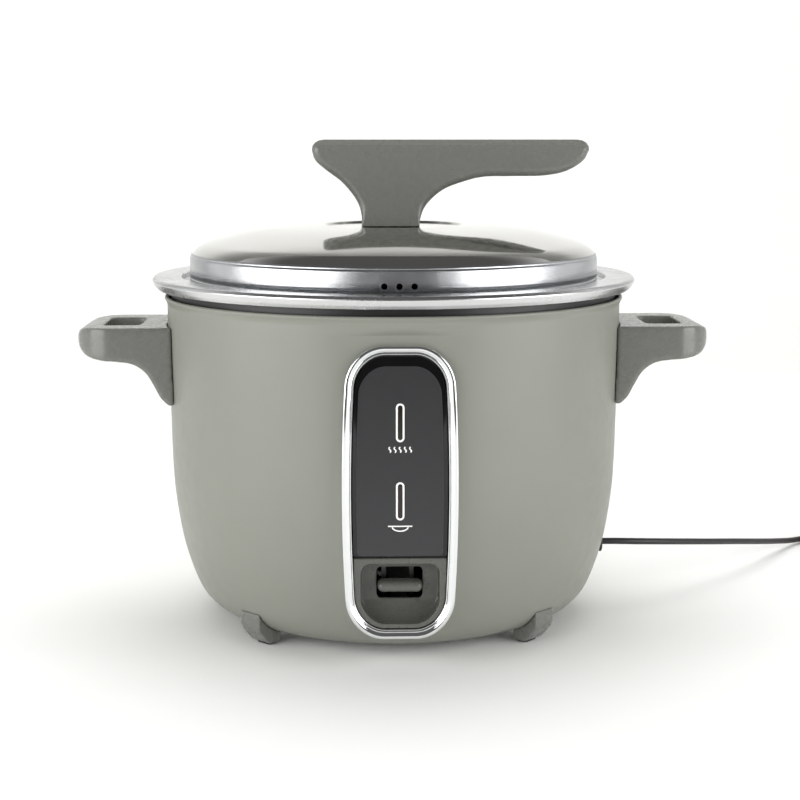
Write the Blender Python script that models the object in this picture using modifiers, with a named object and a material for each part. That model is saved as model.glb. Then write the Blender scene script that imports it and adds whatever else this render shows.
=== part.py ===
"""Electric rice cooker with a lift-off lid, a lift-out pot and a cook/warm lever.

Frame: the origin is on the table under the middle of the body, +Z is up, the control panel
faces -Y and the lid handle's long arm points to +X. The sizes below are in millimetres, and
the makers turn them to metres.
"""

import math

import bmesh
import bpy
from mathutils import Matrix, Vector

MM = 0.001
GAP = 0.3  # clearance between pieces that touch on the real cooker
STEPS = 48  # sides of the large turned pieces

# ---- driving dimensions ------------------------------------------------------------------
# Casing: radius and height down its outer side, from the top edge to the bottom edge.
CASING_SIDE = [
    (147.5, 211.65), (147.3, 180.0), (146.6, 140.0), (145.9, 105.0), (144.4, 82.0),
    (140.3, 55.0), (134.7, 35.0), (128.8, 21.0), (121.9, 13.0), (114.9, 9.0), (110.5, 7.0),
]
CASING_WALL = 1.5
FACET_Y = -143.6  # flat pressed into the front of the casing, where the panel sits
FACET_TOP = 201.0

POT_RADIUS = 128.8
POT_WALL = 1.8
POT_FLOOR_Z = 78.0
POT_CORNER = 20.0
FLANGE_RADIUS = 157.0
FLANGE_TOP = 224.5
FLANGE_BOTTOM = 216.8

LID_SIDE = [
    (44.0, 255.9), (44.6, 256.8), (46.5, 257.0), (60.0, 256.4), (75.0, 255.4), (90.0, 253.5),
    (105.0, 250.3), (118.0, 246.8), (124.5, 244.4), (129.2, 241.2), (131.9, 238.4),
    (132.6, 236.0), (132.6, 220.8),
]
LID_WALL = 1.0
VENT_RADIUS = 1.95
VENT_PITCH = 8.8
VENT_Z = 228.0

PANEL_WIDTH = 68.3  # outside of the chrome frame at its widest
PANEL_BOTTOM = 21.3
PANEL_TOP = 195.5
PANEL_CORNER = 23.5
PANEL_BOW = 0.10  # how much narrower the frame is at its ends
FRAME_BAND = 5.6
FRAME_FRONT = -148.0
PANEL_FRONT = -145.5
PANEL_SPLIT = 70.0  # height where the black panel meets the switch housing
LENS_SIZE = (4.9, 22.0)
LENS_HEIGHTS = {"warm_lens": 150.4, "cook_lens": 104.0}

PIVOT = (0.0, -62.0, 44.0)  # the cook lever's hinge
LEVER_HALF_WIDTH = 6.5

FLOOR_PLATE_Z = 58.5  # underside of the liner's floor
HEATER_TOP = POT_FLOOR_Z - GAP

FOOT_INNER, FOOT_OUTER, FOOT_HALF_WIDTH = 111.0, 130.0, 8.5
FOOT_ANGLES = {"front_left": 225, "front_right": 315, "rear_right": 45, "rear_left": 135}
PAD_HEIGHT = 1.0

CORD_DIAMETER = 4.3
GLAND_Y, GLAND_Z, GLAND_FACE_X = 5.0, 41.9, 141.0
CORD_ROUTE = [
    (141.3, 5.0, 41.9), (150.0, 5.3, 41.8), (165.0, 8.0, 40.8), (185.0, 17.0, 38.3),
    (207.0, 33.0, 34.1), (230.0, 54.0, 28.7), (253.0, 79.0, 22.4), (275.0, 106.0, 15.5),
    (295.0, 133.0, 8.9), (313.0, 155.0, 4.0), (331.5, 170.2, 2.5),
]
COIL_CENTRE = (358.0, 150.0)
COIL_MIDDLE_RADIUS = 23.0
COIL_TURNS_WIDE = 3
PLUG_X = COIL_CENTRE[0] + COIL_MIDDLE_RADIUS + CORD_DIAMETER
PLUG_REAR_Y = 130.5


# ---- scene, collections and materials ----------------------------------------------------
def clear_scene():
    for obj in list(bpy.data.objects):
        bpy.data.objects.remove(obj, do_unlink=True)


def new_collection(name):
    collection = bpy.data.collections.new(name)
    bpy.context.scene.collection.children.link(collection)
    return collection


def linear(colour):
    """A colour of three sRGB values from 0 to 255, as linear light."""
    parts = [value / 255 for value in colour]
    return [p / 12.92 if p <= 0.04045 else ((p + 0.055) / 1.055) ** 2.4 for p in parts]


def new_material(name, colour, roughness, metallic=0.0):
    made = bpy.data.materials.new(name)
    made.use_nodes = True
    shader = made.node_tree.nodes["Principled BSDF"]
    shader.inputs["Base Color"].default_value = (*linear(colour), 1.0)
    shader.inputs["Roughness"].default_value = roughness
    shader.inputs["Metallic"].default_value = metallic
    return made


clear_scene()
COOKER = new_collection("rice_cooker")
CUTTERS = new_collection("cutters")

FINISHES = {
    "painted_steel": ((156, 158, 150), 0.35, 0.3),
    "grey_plastic": ((128, 129, 124), 0.5, 0.0),
    "light_grey_plastic": ((160, 161, 156), 0.45, 0.0),
    "black_plastic": ((30, 30, 30), 0.4, 0.0),
    "gloss_black": ((22, 22, 23), 0.1, 0.0),
    "polished_steel": ((200, 200, 198), 0.08, 1.0),
    "spun_aluminium": ((204, 205, 206), 0.3, 1.0),
    "cast_aluminium": ((170, 170, 168), 0.5, 1.0),
    "zinc_steel": ((165, 166, 162), 0.4, 1.0),
    "chrome": ((222, 224, 224), 0.05, 1.0),
    "black_rubber": ((28, 28, 27), 0.8, 0.0),
    "amber_lens": ((196, 120, 40), 0.2, 0.0),
    "red_lens": ((170, 40, 30), 0.2, 0.0),
    "circuit_board": ((170, 140, 90), 0.6, 0.0),
    "ferrite": ((60, 58, 56), 0.7, 0.0),
    "ceramic": ((232, 230, 222), 0.5, 0.0),
    "brown_insulation": ((110, 70, 45), 0.5, 0.0),
    "blue_insulation": ((60, 85, 140), 0.5, 0.0),
}
MATERIALS = {name: new_material(name, *values) for name, values in FINISHES.items()}


# ---- makers ------------------------------------------------------------------------------
def new_object(name, data):
    obj = bpy.data.objects.new(name, data)
    COOKER.objects.link(obj)
    return obj


def finish(obj, name):
    """Gives a piece its material and smooth shading."""
    obj.data.materials.clear()
    obj.data.materials.append(MATERIALS[name])
    if obj.type == "MESH":
        obj.data.shade_smooth()
        obj.data.set_sharp_from_angle(angle=math.radians(35))
    return obj


def as_cutter(obj):
    CUTTERS.objects.link(obj)
    COOKER.objects.unlink(obj)
    obj.hide_render = True
    obj.display_type = "WIRE"
    return obj


def combine(obj, other, operation):
    boolean = obj.modifiers.new(operation.title() + " " + other.name, "BOOLEAN")
    boolean.operation = operation
    boolean.object = other
    if other.name not in CUTTERS.objects:
        as_cutter(other)
    return obj


def cut(obj, *others):
    for other in others:
        combine(obj, other, "DIFFERENCE")
    return obj


def turned(name, profile, ring=True, steps=STEPS, place=(0, 0)):
    """Profile points are (radius, height). A ring's profile is a closed loop."""
    count = len(profile)
    edges = [(i, i + 1) for i in range(count - 1)] + ([(count - 1, 0)] if ring else [])
    mesh = bpy.data.meshes.new(name)
    mesh.from_pydata([(r * MM, 0, z * MM) for r, z in profile], edges, [])
    obj = new_object(name, mesh)
    obj.location = (place[0] * MM, place[1] * MM, 0)
    screw = obj.modifiers.new("Turn", "SCREW")
    screw.steps = screw.render_steps = steps
    screw.use_merge_vertices = True
    screw.merge_threshold = 0.00001
    return obj


def block(name, low, high, round_edge=0.0, segments=2):
    mesh = bpy.data.meshes.new(name)
    shape = bmesh.new()
    bmesh.ops.create_cube(shape, size=1.0)
    size = [(b - a) * MM for a, b in zip(low, high)]
    middle = [(a + b) / 2 * MM for a, b in zip(low, high)]
    bmesh.ops.scale(shape, vec=size, verts=shape.verts)
    bmesh.ops.translate(shape, vec=middle, verts=shape.verts)
    shape.to_mesh(mesh)
    shape.free()
    return rounded(new_object(name, mesh), round_edge, segments)


def rounded(obj, width, segments=2, angle=40):
    if width:
        bevel = obj.modifiers.new("Rounded edges", "BEVEL")
        bevel.width = width * MM
        bevel.segments = segments
        bevel.angle_limit = math.radians(angle)
        bevel.use_clamp_overlap = False
    return obj


def rod(name, radius, start, end, sides=24, end_radius=None):
    """A round bar from start to end. end_radius makes it a cone."""
    start, end = Vector(start) * MM, Vector(end) * MM
    along = end - start
    mesh = bpy.data.meshes.new(name)
    shape = bmesh.new()
    turn = along.to_track_quat("Z", "X").to_matrix().to_4x4()
    bmesh.ops.create_cone(
        shape, cap_ends=True, segments=sides, depth=along.length, radius1=radius * MM,
        radius2=(radius if end_radius is None else end_radius) * MM,
        matrix=Matrix.Translation((start + end) / 2) @ turn,
    )
    shape.to_mesh(mesh)
    shape.free()
    return new_object(name, mesh)


AXES = {
    "X": Matrix(((0, 0, 1), (1, 0, 0), (0, 1, 0))),
    "Y": Matrix(((1, 0, 0), (0, 0, -1), (0, 1, 0))),
    "Z": Matrix.Identity(3),
}


AXIS_NUMBER = {"X": 0, "Y": 1, "Z": 2}


def plate(name, outline, low, high, normal="Z"):
    """A flat outline given thickness. X plates are outlined in (y, z), Y plates in (x, z)."""
    curve = bpy.data.curves.new(name, "CURVE")
    curve.dimensions = "2D"
    curve.fill_mode = "BOTH"
    curve.extrude = (high - low) / 2 * MM
    spline = curve.splines.new("POLY")
    spline.points.add(len(outline) - 1)
    for point, (u, v) in zip(spline.points, outline):
        point.co = (u * MM, v * MM, 0, 1)
    spline.use_cyclic_u = True
    guide = new_object(name + "_outline", curve)
    bpy.context.view_layer.update()
    graph = bpy.context.evaluated_depsgraph_get()
    mesh = bpy.data.meshes.new_from_object(guide.evaluated_get(graph))
    bpy.data.objects.remove(guide)
    middle = (low + high) / 2 * MM * (-1 if normal == "Y" else 1)
    mesh.transform(AXES[normal].to_4x4() @ Matrix.Translation((0, 0, middle)))
    shape = bmesh.new()
    shape.from_mesh(mesh)
    bmesh.ops.remove_doubles(shape, verts=shape.verts, dist=0.000001)
    bmesh.ops.recalc_face_normals(shape, faces=shape.faces)
    # The caps come as triangles, and one flat face each bevels more cleanly.
    caps = [face for face in shape.faces if abs(face.normal[AXIS_NUMBER[normal]]) > 0.999]
    edges = {edge for face in caps for edge in face.edges if all(f in caps for f in edge.link_faces)}
    bmesh.ops.dissolve_edges(shape, edges=list(edges), use_verts=False)
    shape.to_mesh(mesh)
    shape.free()
    return new_object(name, mesh)


def tube(name, points, diameter, resolution=2):
    curve = bpy.data.curves.new(name, "CURVE")
    curve.dimensions = "3D"
    curve.bevel_depth = diameter / 2 * MM
    curve.bevel_resolution = resolution
    curve.use_fill_caps = True
    spline = curve.splines.new("POLY")
    spline.points.add(len(points) - 1)
    for point, place in zip(spline.points, points):
        point.co = (*[value * MM for value in place], 1)
    return new_object(name, curve)


def smooth_through(route, step):
    """Points about a step apart on a smooth curve through the route's points."""
    ends = [2 * Vector(route[0]) - Vector(route[1]), 2 * Vector(route[-1]) - Vector(route[-2])]
    knots = [ends[0]] + [Vector(p) for p in route] + [ends[1]]
    found = []
    for a, b, c, d in zip(knots, knots[1:], knots[2:], knots[3:]):
        pieces = max(1, round((c - b).length / step))
        for i in range(pieces):
            t = i / pieces
            found.append(
                0.5 * (2 * b + (c - a) * t + (2 * a - 5 * b + 4 * c - d) * t * t
                       + (3 * b - a - 3 * c + d) * t**3)
            )
    return [tuple(p) for p in found + [knots[-2]]]


def arc(centre, radius, first, last, pieces):
    """Points on an arc, angles in degrees."""
    angles = [math.radians(first + (last - first) * i / pieces) for i in range(pieces + 1)]
    return [(centre[0] + radius * math.cos(a), centre[1] + radius * math.sin(a)) for a in angles]


def rounded_rectangle(low, high, radius, pieces=4):
    (x0, y0), (x1, y1) = low, high
    return (
        arc((x1 - radius, y1 - radius), radius, 0, 90, pieces)
        + arc((x0 + radius, y1 - radius), radius, 90, 180, pieces)
        + arc((x0 + radius, y0 + radius), radius, 180, 270, pieces)
        + arc((x1 - radius, y0 + radius), radius, 270, 360, pieces)
    )


def offset_side(side, distance):
    """A turned profile that runs outwards and down, moved out by a distance."""
    points = [Vector(p) for p in side]
    moved = []
    for i, point in enumerate(points):
        before = (point - points[i - 1]).normalized() if i else None
        after = (points[i + 1] - point).normalized() if i + 1 < len(points) else None
        before, after = before or after, after or before
        normals = [Vector((-d.y, d.x)) for d in (before, after)]
        middle = (normals[0] + normals[1]).normalized()
        moved.append(tuple(point + middle * distance / middle.dot(normals[0])))
    return moved


def placed_at_angle(obj, degrees):
    """Turns a piece that was made on the +X side about the cooker's axis."""
    obj.data.transform(Matrix.Rotation(math.radians(degrees), 4, "Z"))
    return obj


def hung_on(axis, *pieces):
    """Parents a moving body's pieces to an empty on its joint axis."""
    for piece in pieces:
        piece.parent = axis
        piece.matrix_parent_inverse = axis.matrix_world.inverted()


def new_axis(name, place):
    empty = bpy.data.objects.new(name, None)
    empty.location = Vector(place) * MM
    COOKER.objects.link(empty)
    bpy.context.view_layer.update()
    return empty


# ---- casing ------------------------------------------------------------------------------
def facet_cutter(name, front):
    """Everything in front of the pressed flat, whose top slopes back up to the round wall."""
    rise, outside = 12, -165
    slope_top = FACET_TOP + rise
    side = [(front, 60), (front, FACET_TOP), (front - rise, slope_top), (outside, slope_top), (outside, 60)]
    return plate(name, side, -60, 60, "X")


def casing_form(name, grown):
    """The solid form inside the casing's outer surface, moved out by grown millimetres."""
    side = offset_side(CASING_SIDE, grown)
    side[0] = (side[0][0], side[0][1] + 0.2)
    side[-1] = (side[-1][0], CASING_SIDE[-1][1] - max(grown, -0.3))
    form = turned(name, [(0, side[0][1])] + side + [(0, side[-1][1])], ring=False)
    return as_cutter(cut(form, facet_cutter(name + "_flat", FACET_Y - grown)))


def panel_outline(inset):
    """The chrome frame's outline, moved in: a round-cornered oblong with slightly bowed sides."""
    half = PANEL_WIDTH / 2 - inset
    low, high = PANEL_BOTTOM + inset, PANEL_TOP - inset
    middle, reach = (low + high) / 2, (high - low) / 2
    corner = PANEL_CORNER - 0.8 * inset
    points = rounded_rectangle((-half, low), (half, high), corner, 6)
    # Each side gets a few more points, so that its bow is round.
    sides = []
    for (x0, z0), (x1, z1) in zip(points, points[1:] + points[:1]):
        sides.append((x0, z0))
        if abs(z1 - z0) > 3 * corner:
            sides += [(x0 + (x1 - x0) * i / 6, z0 + (z1 - z0) * i / 6) for i in range(1, 6)]
    return [(x * (1 - PANEL_BOW * ((z - middle) / reach) ** 2), z) for x, z in sides]


def make_casing():
    top = CASING_SIDE[0][1]
    casing = turned("outer_casing", [(0, top)] + CASING_SIDE + [(0, CASING_SIDE[-1][1])], ring=False)
    cut(casing, facet_cutter("casing_flat", FACET_Y))
    side = offset_side(CASING_SIDE, -CASING_WALL)
    low = (side[-1][0], CASING_SIDE[-1][1] - 1)
    hollow = [(0, top + 1), (side[0][0], top + 1)] + side + [low, (0, low[1])]
    inside = turned("casing_inside", hollow, ring=False)
    cut(inside, facet_cutter("casing_inside_flat", FACET_Y + CASING_WALL))
    opening = plate("panel_opening", panel_outline(FRAME_BAND - GAP), -165, -118, "Y")
    gland_hole = rod("gland_hole", 4.8, (120, GLAND_Y, GLAND_Z), (150, GLAND_Y, GLAND_Z))
    return finish(cut(casing, inside, opening, gland_hole), "painted_steel")


def make_top_ring():
    """The black ring between the casing's edge and the pot's flange."""
    inner, outer = POT_RADIUS + 3.4, 144.8
    top, low, wall = FLANGE_BOTTOM - GAP, 208, 3
    profile = [(outer, top), (outer, low), (outer - wall, low), (outer - wall, top - wall)]
    profile += [(inner, top - wall), (inner, top)]
    return finish(turned("top_ring", profile), "black_plastic")


def make_liner():
    """The heat shield: a sheet drum around the pot, with a floor that carries the heater."""
    outer, wall = POT_RADIUS + 4.0, 1.2
    top, neck = 207.0, 118.0
    profile = [
        (outer, top), (outer, 80), (neck, 66), (neck, FLOOR_PLATE_Z), (30, FLOOR_PLATE_Z),
        (30, FLOOR_PLATE_Z + wall), (neck - wall, FLOOR_PLATE_Z + wall), (neck - wall, 66.5),
        (outer - wall, 80.5), (outer - wall, top),
    ]
    return finish(turned("inner_liner", profile), "zinc_steel")


def make_base():
    finish(turned("base_plate", [(0, 8.7), (108.4, 8.7), (108.4, 7.3), (0, 7.3)], ring=False), "zinc_steel")
    for number, angle in enumerate((90, 210, 330), 1):
        screw = rod(f"base_screw_{number}", 4.0, (70, 0, 7.0), (70, 0, 4.9), 16, 2.6)
        finish(placed_at_angle(screw, angle), "zinc_steel")


def make_feet(envelope):
    low, top = PAD_HEIGHT + GAP, 22
    toe = FOOT_OUTER - 9.5
    # Seen from its side, a foot's outer end slopes up from its sole.
    side = [(FOOT_INNER, top), (FOOT_INNER, low), (toe, low), (FOOT_OUTER, 12.5), (FOOT_OUTER, top)]
    pad_low = (FOOT_INNER + 1.5, -FOOT_HALF_WIDTH + 2.5)
    pad_high = (toe - 1.5, FOOT_HALF_WIDTH - 2.5)
    for place, angle in FOOT_ANGLES.items():
        foot = rounded(plate(f"foot_{place}", side, -FOOT_HALF_WIDTH, FOOT_HALF_WIDTH, "Y"), 1.6, 3)
        cut(placed_at_angle(foot, angle), envelope)
        finish(foot, "grey_plastic")
        pad = plate(f"foot_pad_{place}", rounded_rectangle(pad_low, pad_high, 2), 0, PAD_HEIGHT)
        finish(placed_at_angle(pad, angle), "black_rubber")


# ---- side handles ------------------------------------------------------------------------
HANDLE_TOP, HANDLE_TIP, HANDLE_HALF = 193.7, 206.0, 42.0
HANDLE_UNDERSIDE = [
    (203.8, 180.0), (198.4, 175.4), (189.0, 173.0), (177.0, 172.0), (167.0, 170.4), (159.0, 165.0),
    (153.8, 156.5), (149.6, 148.5), (144.5, 143.6),
]


def handle_plan():
    """Round-cornered D seen from above: a superellipse on the far end."""
    start, reach, power = 178.0, HANDLE_TIP - 178.0, 2.3
    half = HANDLE_HALF + 0.4
    points = [(130.0, -half), (start, -half)]
    for i in range(1, 16):
        a = math.radians(-90 + 180 * i / 16)
        c, s = math.cos(a), math.sin(a)
        x = start + reach * abs(c) ** (2 / power)
        points.append((x, math.copysign(half * abs(s) ** (2 / power), s)))
    return points + [(start, half), (130.0, half)]


def make_side_handle(name, mirror, envelope):
    under = [(x, z) for x, _, z in smooth_through([(x, 0, z) for x, z in HANDLE_UNDERSIDE], 9)]
    over = [(130, HANDLE_TOP), (196, HANDLE_TOP), (203, 190.4), (HANDLE_TIP, 185.5)]
    outline = over + under + [(130, 143.2)]
    handle = rounded(plate(name, outline, -HANDLE_HALF, HANDLE_HALF, "Y"), 3.0, 2, 60)
    plan = plate(name + "_plan", handle_plan(), 130, 200)
    slot = plate(name + "_slot", rounded_rectangle((164.6, -22.3), (188, 22.3), 5), 130, 200)
    if mirror:
        for part in (handle, plan, slot):
            part.data.transform(Matrix.Rotation(math.pi, 4, "Z"))
    combine(handle, plan, "INTERSECT")
    cut(handle, slot, envelope)
    finish(handle, "grey_plastic")
    side = -1 if mirror else 1
    for place, y in (("front", -12), ("rear", 12)):
        screw = rod(f"{name}_screw_{place}", 3.5, (side * 141.7, y, 180), (side * 144.2, y, 180), 16)
        finish(screw, "zinc_steel")


# ---- control panel -----------------------------------------------------------------------
def make_panel(envelope):
    bezel = plate("chrome_bezel", panel_outline(0), FRAME_FRONT, -118, "Y")
    hole = plate("bezel_hole", panel_outline(FRAME_BAND), -160, -110, "Y")
    finish(cut(rounded(bezel, 1.0, 1, 50), hole, envelope), "chrome")

    panel = plate("display_panel", panel_outline(FRAME_BAND + GAP), PANEL_FRONT, -142.0, "Y")
    cut(panel, block("below_panel", (-50, -160, 0), (50, -130, PANEL_SPLIT + GAP / 2)))
    width, height = LENS_SIZE
    for name, z in LENS_HEIGHTS.items():
        size = (width / 2 + GAP, height / 2 + GAP)
        slot = block(name + "_slot", (-size[0], -160, z - size[1]), (size[0], -130, z + size[1]))
        cut(panel, slot)
        low = (-width / 2, PANEL_FRONT + 0.2, z - height / 2)
        lens = block(name, low, (width / 2, -141.5, z + height / 2), 0.5, 1)
        finish(lens, "amber_lens" if name == "warm_lens" else "red_lens")
    finish(panel, "gloss_black")

    board = block("lamp_board", (-18, -139.0, 85), (18, -137.4, 170))
    for name, z in LENS_HEIGHTS.items():
        lamp = rod(name + "_lamp", 2.2, (0, -141.1, z), (0, -138, z), 12)
        combine(board, lamp, "UNION")
    finish(board, "circuit_board")


def make_switch_housing():
    housing = plate("switch_housing", panel_outline(FRAME_BAND + GAP), PANEL_FRONT, -130.3, "Y")
    above = block("above_housing", (-50, -160, PANEL_SPLIT - GAP / 2), (50, -120, 230))
    recess = plate("switch_recess", rounded_rectangle((-23.1, 29.9), (23.1, 66.3), 6), -160, -132.5, "Y")
    scoop = [(-160, 30.0)] + arc((-145.5, 43.0), 13.0, 270, 360, 5) + [(-132.5, 70), (-160, 70)]
    combine(recess, plate("recess_scoop", scoop, -30, 30, "X"), "INTERSECT")
    combine(recess, plate("recess_border", panel_outline(8.8), -165, -128, "Y"), "INTERSECT")
    slot = plate("lever_slot", rounded_rectangle((-12.3, 42.4), (12.3, 61.3), 6), -134, -128, "Y")
    finish(cut(housing, above, recess, slot), "black_plastic")


# ---- cook lever and its switch -----------------------------------------------------------
def make_lever():
    axis = new_axis("lever_axis", PIVOT)
    paddle = block("lever_paddle", (-13.2, -144.6, 48.7), (13.2, -134.5, 55.2), 2.4, 3)
    socket = block("paddle_socket", (-6.9, -140.3, 49.6), (6.9, -134, 52.4))
    finish(cut(paddle, socket), "light_grey_plastic")

    top = [(-139.8, 52.0), (-92, 52.0), (-80, 45.0), (-1, 45.0)]
    strip = top + [(y, z - 2) for y, z in reversed(top)]
    arm = plate("lever_arm", strip, -LEVER_HALF_WIDTH, LEVER_HALF_WIDTH, "X")
    barrel = rod("lever_barrel", 3.8, (-LEVER_HALF_WIDTH, *PIVOT[1:]), (LEVER_HALF_WIDTH, *PIVOT[1:]))
    combine(arm, barrel, "UNION")
    cut(arm, rod("pin_hole", 2.35, (-20, *PIVOT[1:]), (20, *PIVOT[1:])))
    finish(arm, "zinc_steel")
    hung_on(axis, paddle, arm)

    finish(rod("lever_pivot_pin", 2.0, (-11, *PIVOT[1:]), (11, *PIVOT[1:])), "zinc_steel")
    bracket = block("lever_bracket", (-8.8, -70, 38), (8.8, -54, FLOOR_PLATE_Z - GAP))
    between = block("bracket_gap", (-7.3, -80, 30), (7.3, -44, FLOOR_PLATE_Z - GAP - 1.5))
    holes = rod("bracket_holes", 2.35, (-20, *PIVOT[1:]), (20, *PIVOT[1:]))
    finish(cut(bracket, between, holes), "zinc_steel")


def make_microswitch():
    y = -102.0
    body = block("microswitch", (-5, y - 10, 30), (5, y + 10, 44), 0.5, 1)
    cut(body, rod("button_hole", 2.0, (0, y, 34), (0, y, 50), 16))
    finish(body, "black_plastic")
    button = rod("microswitch_button", 1.6, (0, y, 38.5), (0, y, 49.6), 12)
    hung_on(new_axis("button_axis", (0, y, 44)), finish(button, "ceramic"))
    top, sheet = FLOOR_PLATE_Z - GAP, 1.2
    back, flange = y + 10.3, y + 20
    side = [(back, 30), (back + sheet, 30), (back + sheet, top - sheet)]
    side += [(flange, top - sheet), (flange, top), (back, top)]
    bracket = plate("switch_bracket", side, -6, 6, "X")
    # The lever's strip passes through a window in the bracket.
    window = block("bracket_window", (-7.2, y + 9, 41), (7.2, y + 14, 54))
    ears = plate("bracket_ears", side, -10, 10, "X")
    combine(bracket, ears, "UNION")
    finish(cut(bracket, window), "zinc_steel")


# ---- heater and thermostat ---------------------------------------------------------------
def make_heater():
    plate_radius, hole = 95.0, 18.5
    low = FLOOR_PLATE_Z + 4.5
    profile = [
        (plate_radius - 3, HEATER_TOP), (plate_radius, HEATER_TOP - 3), (plate_radius, low + 6),
        (plate_radius - 8, low), (hole, low), (hole, HEATER_TOP),
    ]
    heater = turned("heating_plate", profile)
    for angle in (30, 150, 270):
        leg = rod(f"heater_leg_{angle}", 6, (70, 0, FLOOR_PLATE_Z + 1.5), (70, 0, low + 2), 16)
        combine(heater, placed_at_angle(leg, angle), "UNION")
    return finish(heater, "cast_aluminium")


def coil_spring(name, radius, wire, low, high, turns, material):
    steps = 10
    points = []
    for i in range(turns * steps + 1):
        a = 2 * math.pi * i / steps
        z = low + (high - low) * i / (turns * steps)
        points.append((radius * math.cos(a), radius * math.sin(a), z))
    spring = tube(name, points, wire, 1)
    spring.data.materials.append(MATERIALS[material])
    return spring


def make_thermostat():
    low, skirt = 68.5, 15.8
    wall, top = 1.2, HEATER_TOP
    cap_profile = [
        (0, top), (skirt - 1.5, top), (skirt, top - 1.5), (skirt, low), (skirt - wall, low),
        (skirt - wall, top - wall), (0, top - wall),
    ]
    cap = finish(turned("thermostat_cap", cap_profile, ring=False, steps=32), "spun_aluminium")
    core_top = top - wall - GAP
    core = finish(rod("ferrite_core", 8.2, (0, 0, 67.3), (0, 0, core_top)), "ferrite")
    hung_on(new_axis("thermostat_axis", (0, 0, 70)), cap, core)

    under = FLOOR_PLATE_Z - GAP
    sleeve = [(10, 71), (10, under), (34, under), (34, under - 1.2), (10, under - 1.2)]
    sleeve += [(10, 51), (9, 51), (9, 71)]
    finish(turned("thermostat_sleeve", sleeve, steps=32), "zinc_steel")
    coil_spring("thermostat_spring", 12.4, 1.2, under + 0.9, core_top - 0.6, 5, "zinc_steel")

    magnet = finish(rod("permanent_magnet", 8.2, (0, 0, 52.2), (0, 0, 57.7)), "ferrite")
    foot = [(0, 51.9), (1.8, 51.9), (1.8, 46.5), (5, 46.5), (5, 45.3), (0, 45.3)]
    lifter = finish(turned("magnet_rod", foot, ring=False, steps=16), "zinc_steel")
    hung_on(new_axis("magnet_axis", (0, 0, 50)), magnet, lifter)
    coil_spring("magnet_spring", 6.0, 0.9, 58.5, 66.5, 4, "zinc_steel")


# ---- wiring inside the base --------------------------------------------------------------
def make_wiring():
    under = FLOOR_PLATE_Z - GAP
    profile = [(0, under), (10, under), (10, 53), (7, 50), (0, 50)]
    disc = turned("keep_warm_thermostat", profile, ring=False, steps=24, place=(45, 45))
    finish(disc, "black_plastic")
    finish(rod("thermal_fuse", 3.5, (-60, -14, 52), (-60, 14, 52), 16), "ceramic")
    finish(block("terminal_block", (74, -13, 44), (96, 13, under), 1.0, 1), "ceramic")
    wires = (("live_wire", -1, "brown_insulation"), ("neutral_wire", 1, "blue_insulation"))
    for name, side, material in wires:
        route = [(117, GLAND_Y + 2 * side, GLAND_Z), (110, GLAND_Y + 4 * side, 41)]
        route += [(102, 7 * side, 46), (97.6, 7 * side, 51)]
        wire = tube(name, smooth_through(route, 4), 2.2, 1)
        wire.data.materials.append(MATERIALS[material])


# ---- mains lead --------------------------------------------------------------------------
def make_cord(envelope):
    here = (GLAND_Y, GLAND_Z)
    gland = cut(rod("cord_gland", 7.0, (130, *here), (GLAND_FACE_X, *here)), envelope)
    neck = rod("gland_neck", 3.6, (118, *here), (GLAND_FACE_X - 0.6, *here), 20, 4.4)
    finish(combine(gland, neck, "UNION"), "black_rubber")

    lead = tube("power_cord", smooth_through(CORD_ROUTE, 2.5 * CORD_DIAMETER), CORD_DIAMETER)
    lead.data.materials.append(MATERIALS["black_rubber"])

    half_wide = CORD_DIAMETER * COIL_TURNS_WIDE / 2 + 0.1
    inner, outer = COIL_MIDDLE_RADIUS - half_wide, COIL_MIDDLE_RADIUS + half_wide
    low, high, edge = 0.1, 2 * CORD_DIAMETER + 0.3, 1.8
    profile = [
        (outer - edge, high), (outer, high - edge), (outer, low + edge), (outer - edge, low),
        (inner + edge, low), (inner, low + edge), (inner, high - edge), (inner + edge, high),
    ]
    finish(turned("cord_coil", profile, steps=32, place=COIL_CENTRE), "black_rubber")
    make_plug()


def make_plug():
    """A moulded two-pin plug that lies flat beside the coil, its pins to -Y."""
    middle_z, half_height = 7.2, 6.9
    relief_end, body_end, pin_end = PLUG_REAR_Y - 20, PLUG_REAR_Y - 46, PLUG_REAR_Y - 65
    outline = [
        (PLUG_X - 6, relief_end), (PLUG_X - 13, relief_end - 9), (PLUG_X - 13, body_end),
        (PLUG_X + 13, body_end), (PLUG_X + 13, relief_end - 9), (PLUG_X + 6, relief_end),
    ]
    plug = rounded(plate("plug_body", outline, middle_z - half_height, middle_z + half_height), 2.0, 2, 30)
    relief = rod(
        "plug_relief", 5.2, (PLUG_X, relief_end - 2, middle_z), (PLUG_X, PLUG_REAR_Y, middle_z), 16, 3.0
    )
    finish(combine(plug, relief, "UNION"), "black_rubber")
    for name, side in (("plug_pin_left", -1), ("plug_pin_right", 1)):
        x = PLUG_X + 9.5 * side
        finish(rod(name, 2.0, (x, body_end - GAP, middle_z), (x, pin_end, middle_z), 12), "chrome")


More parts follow.
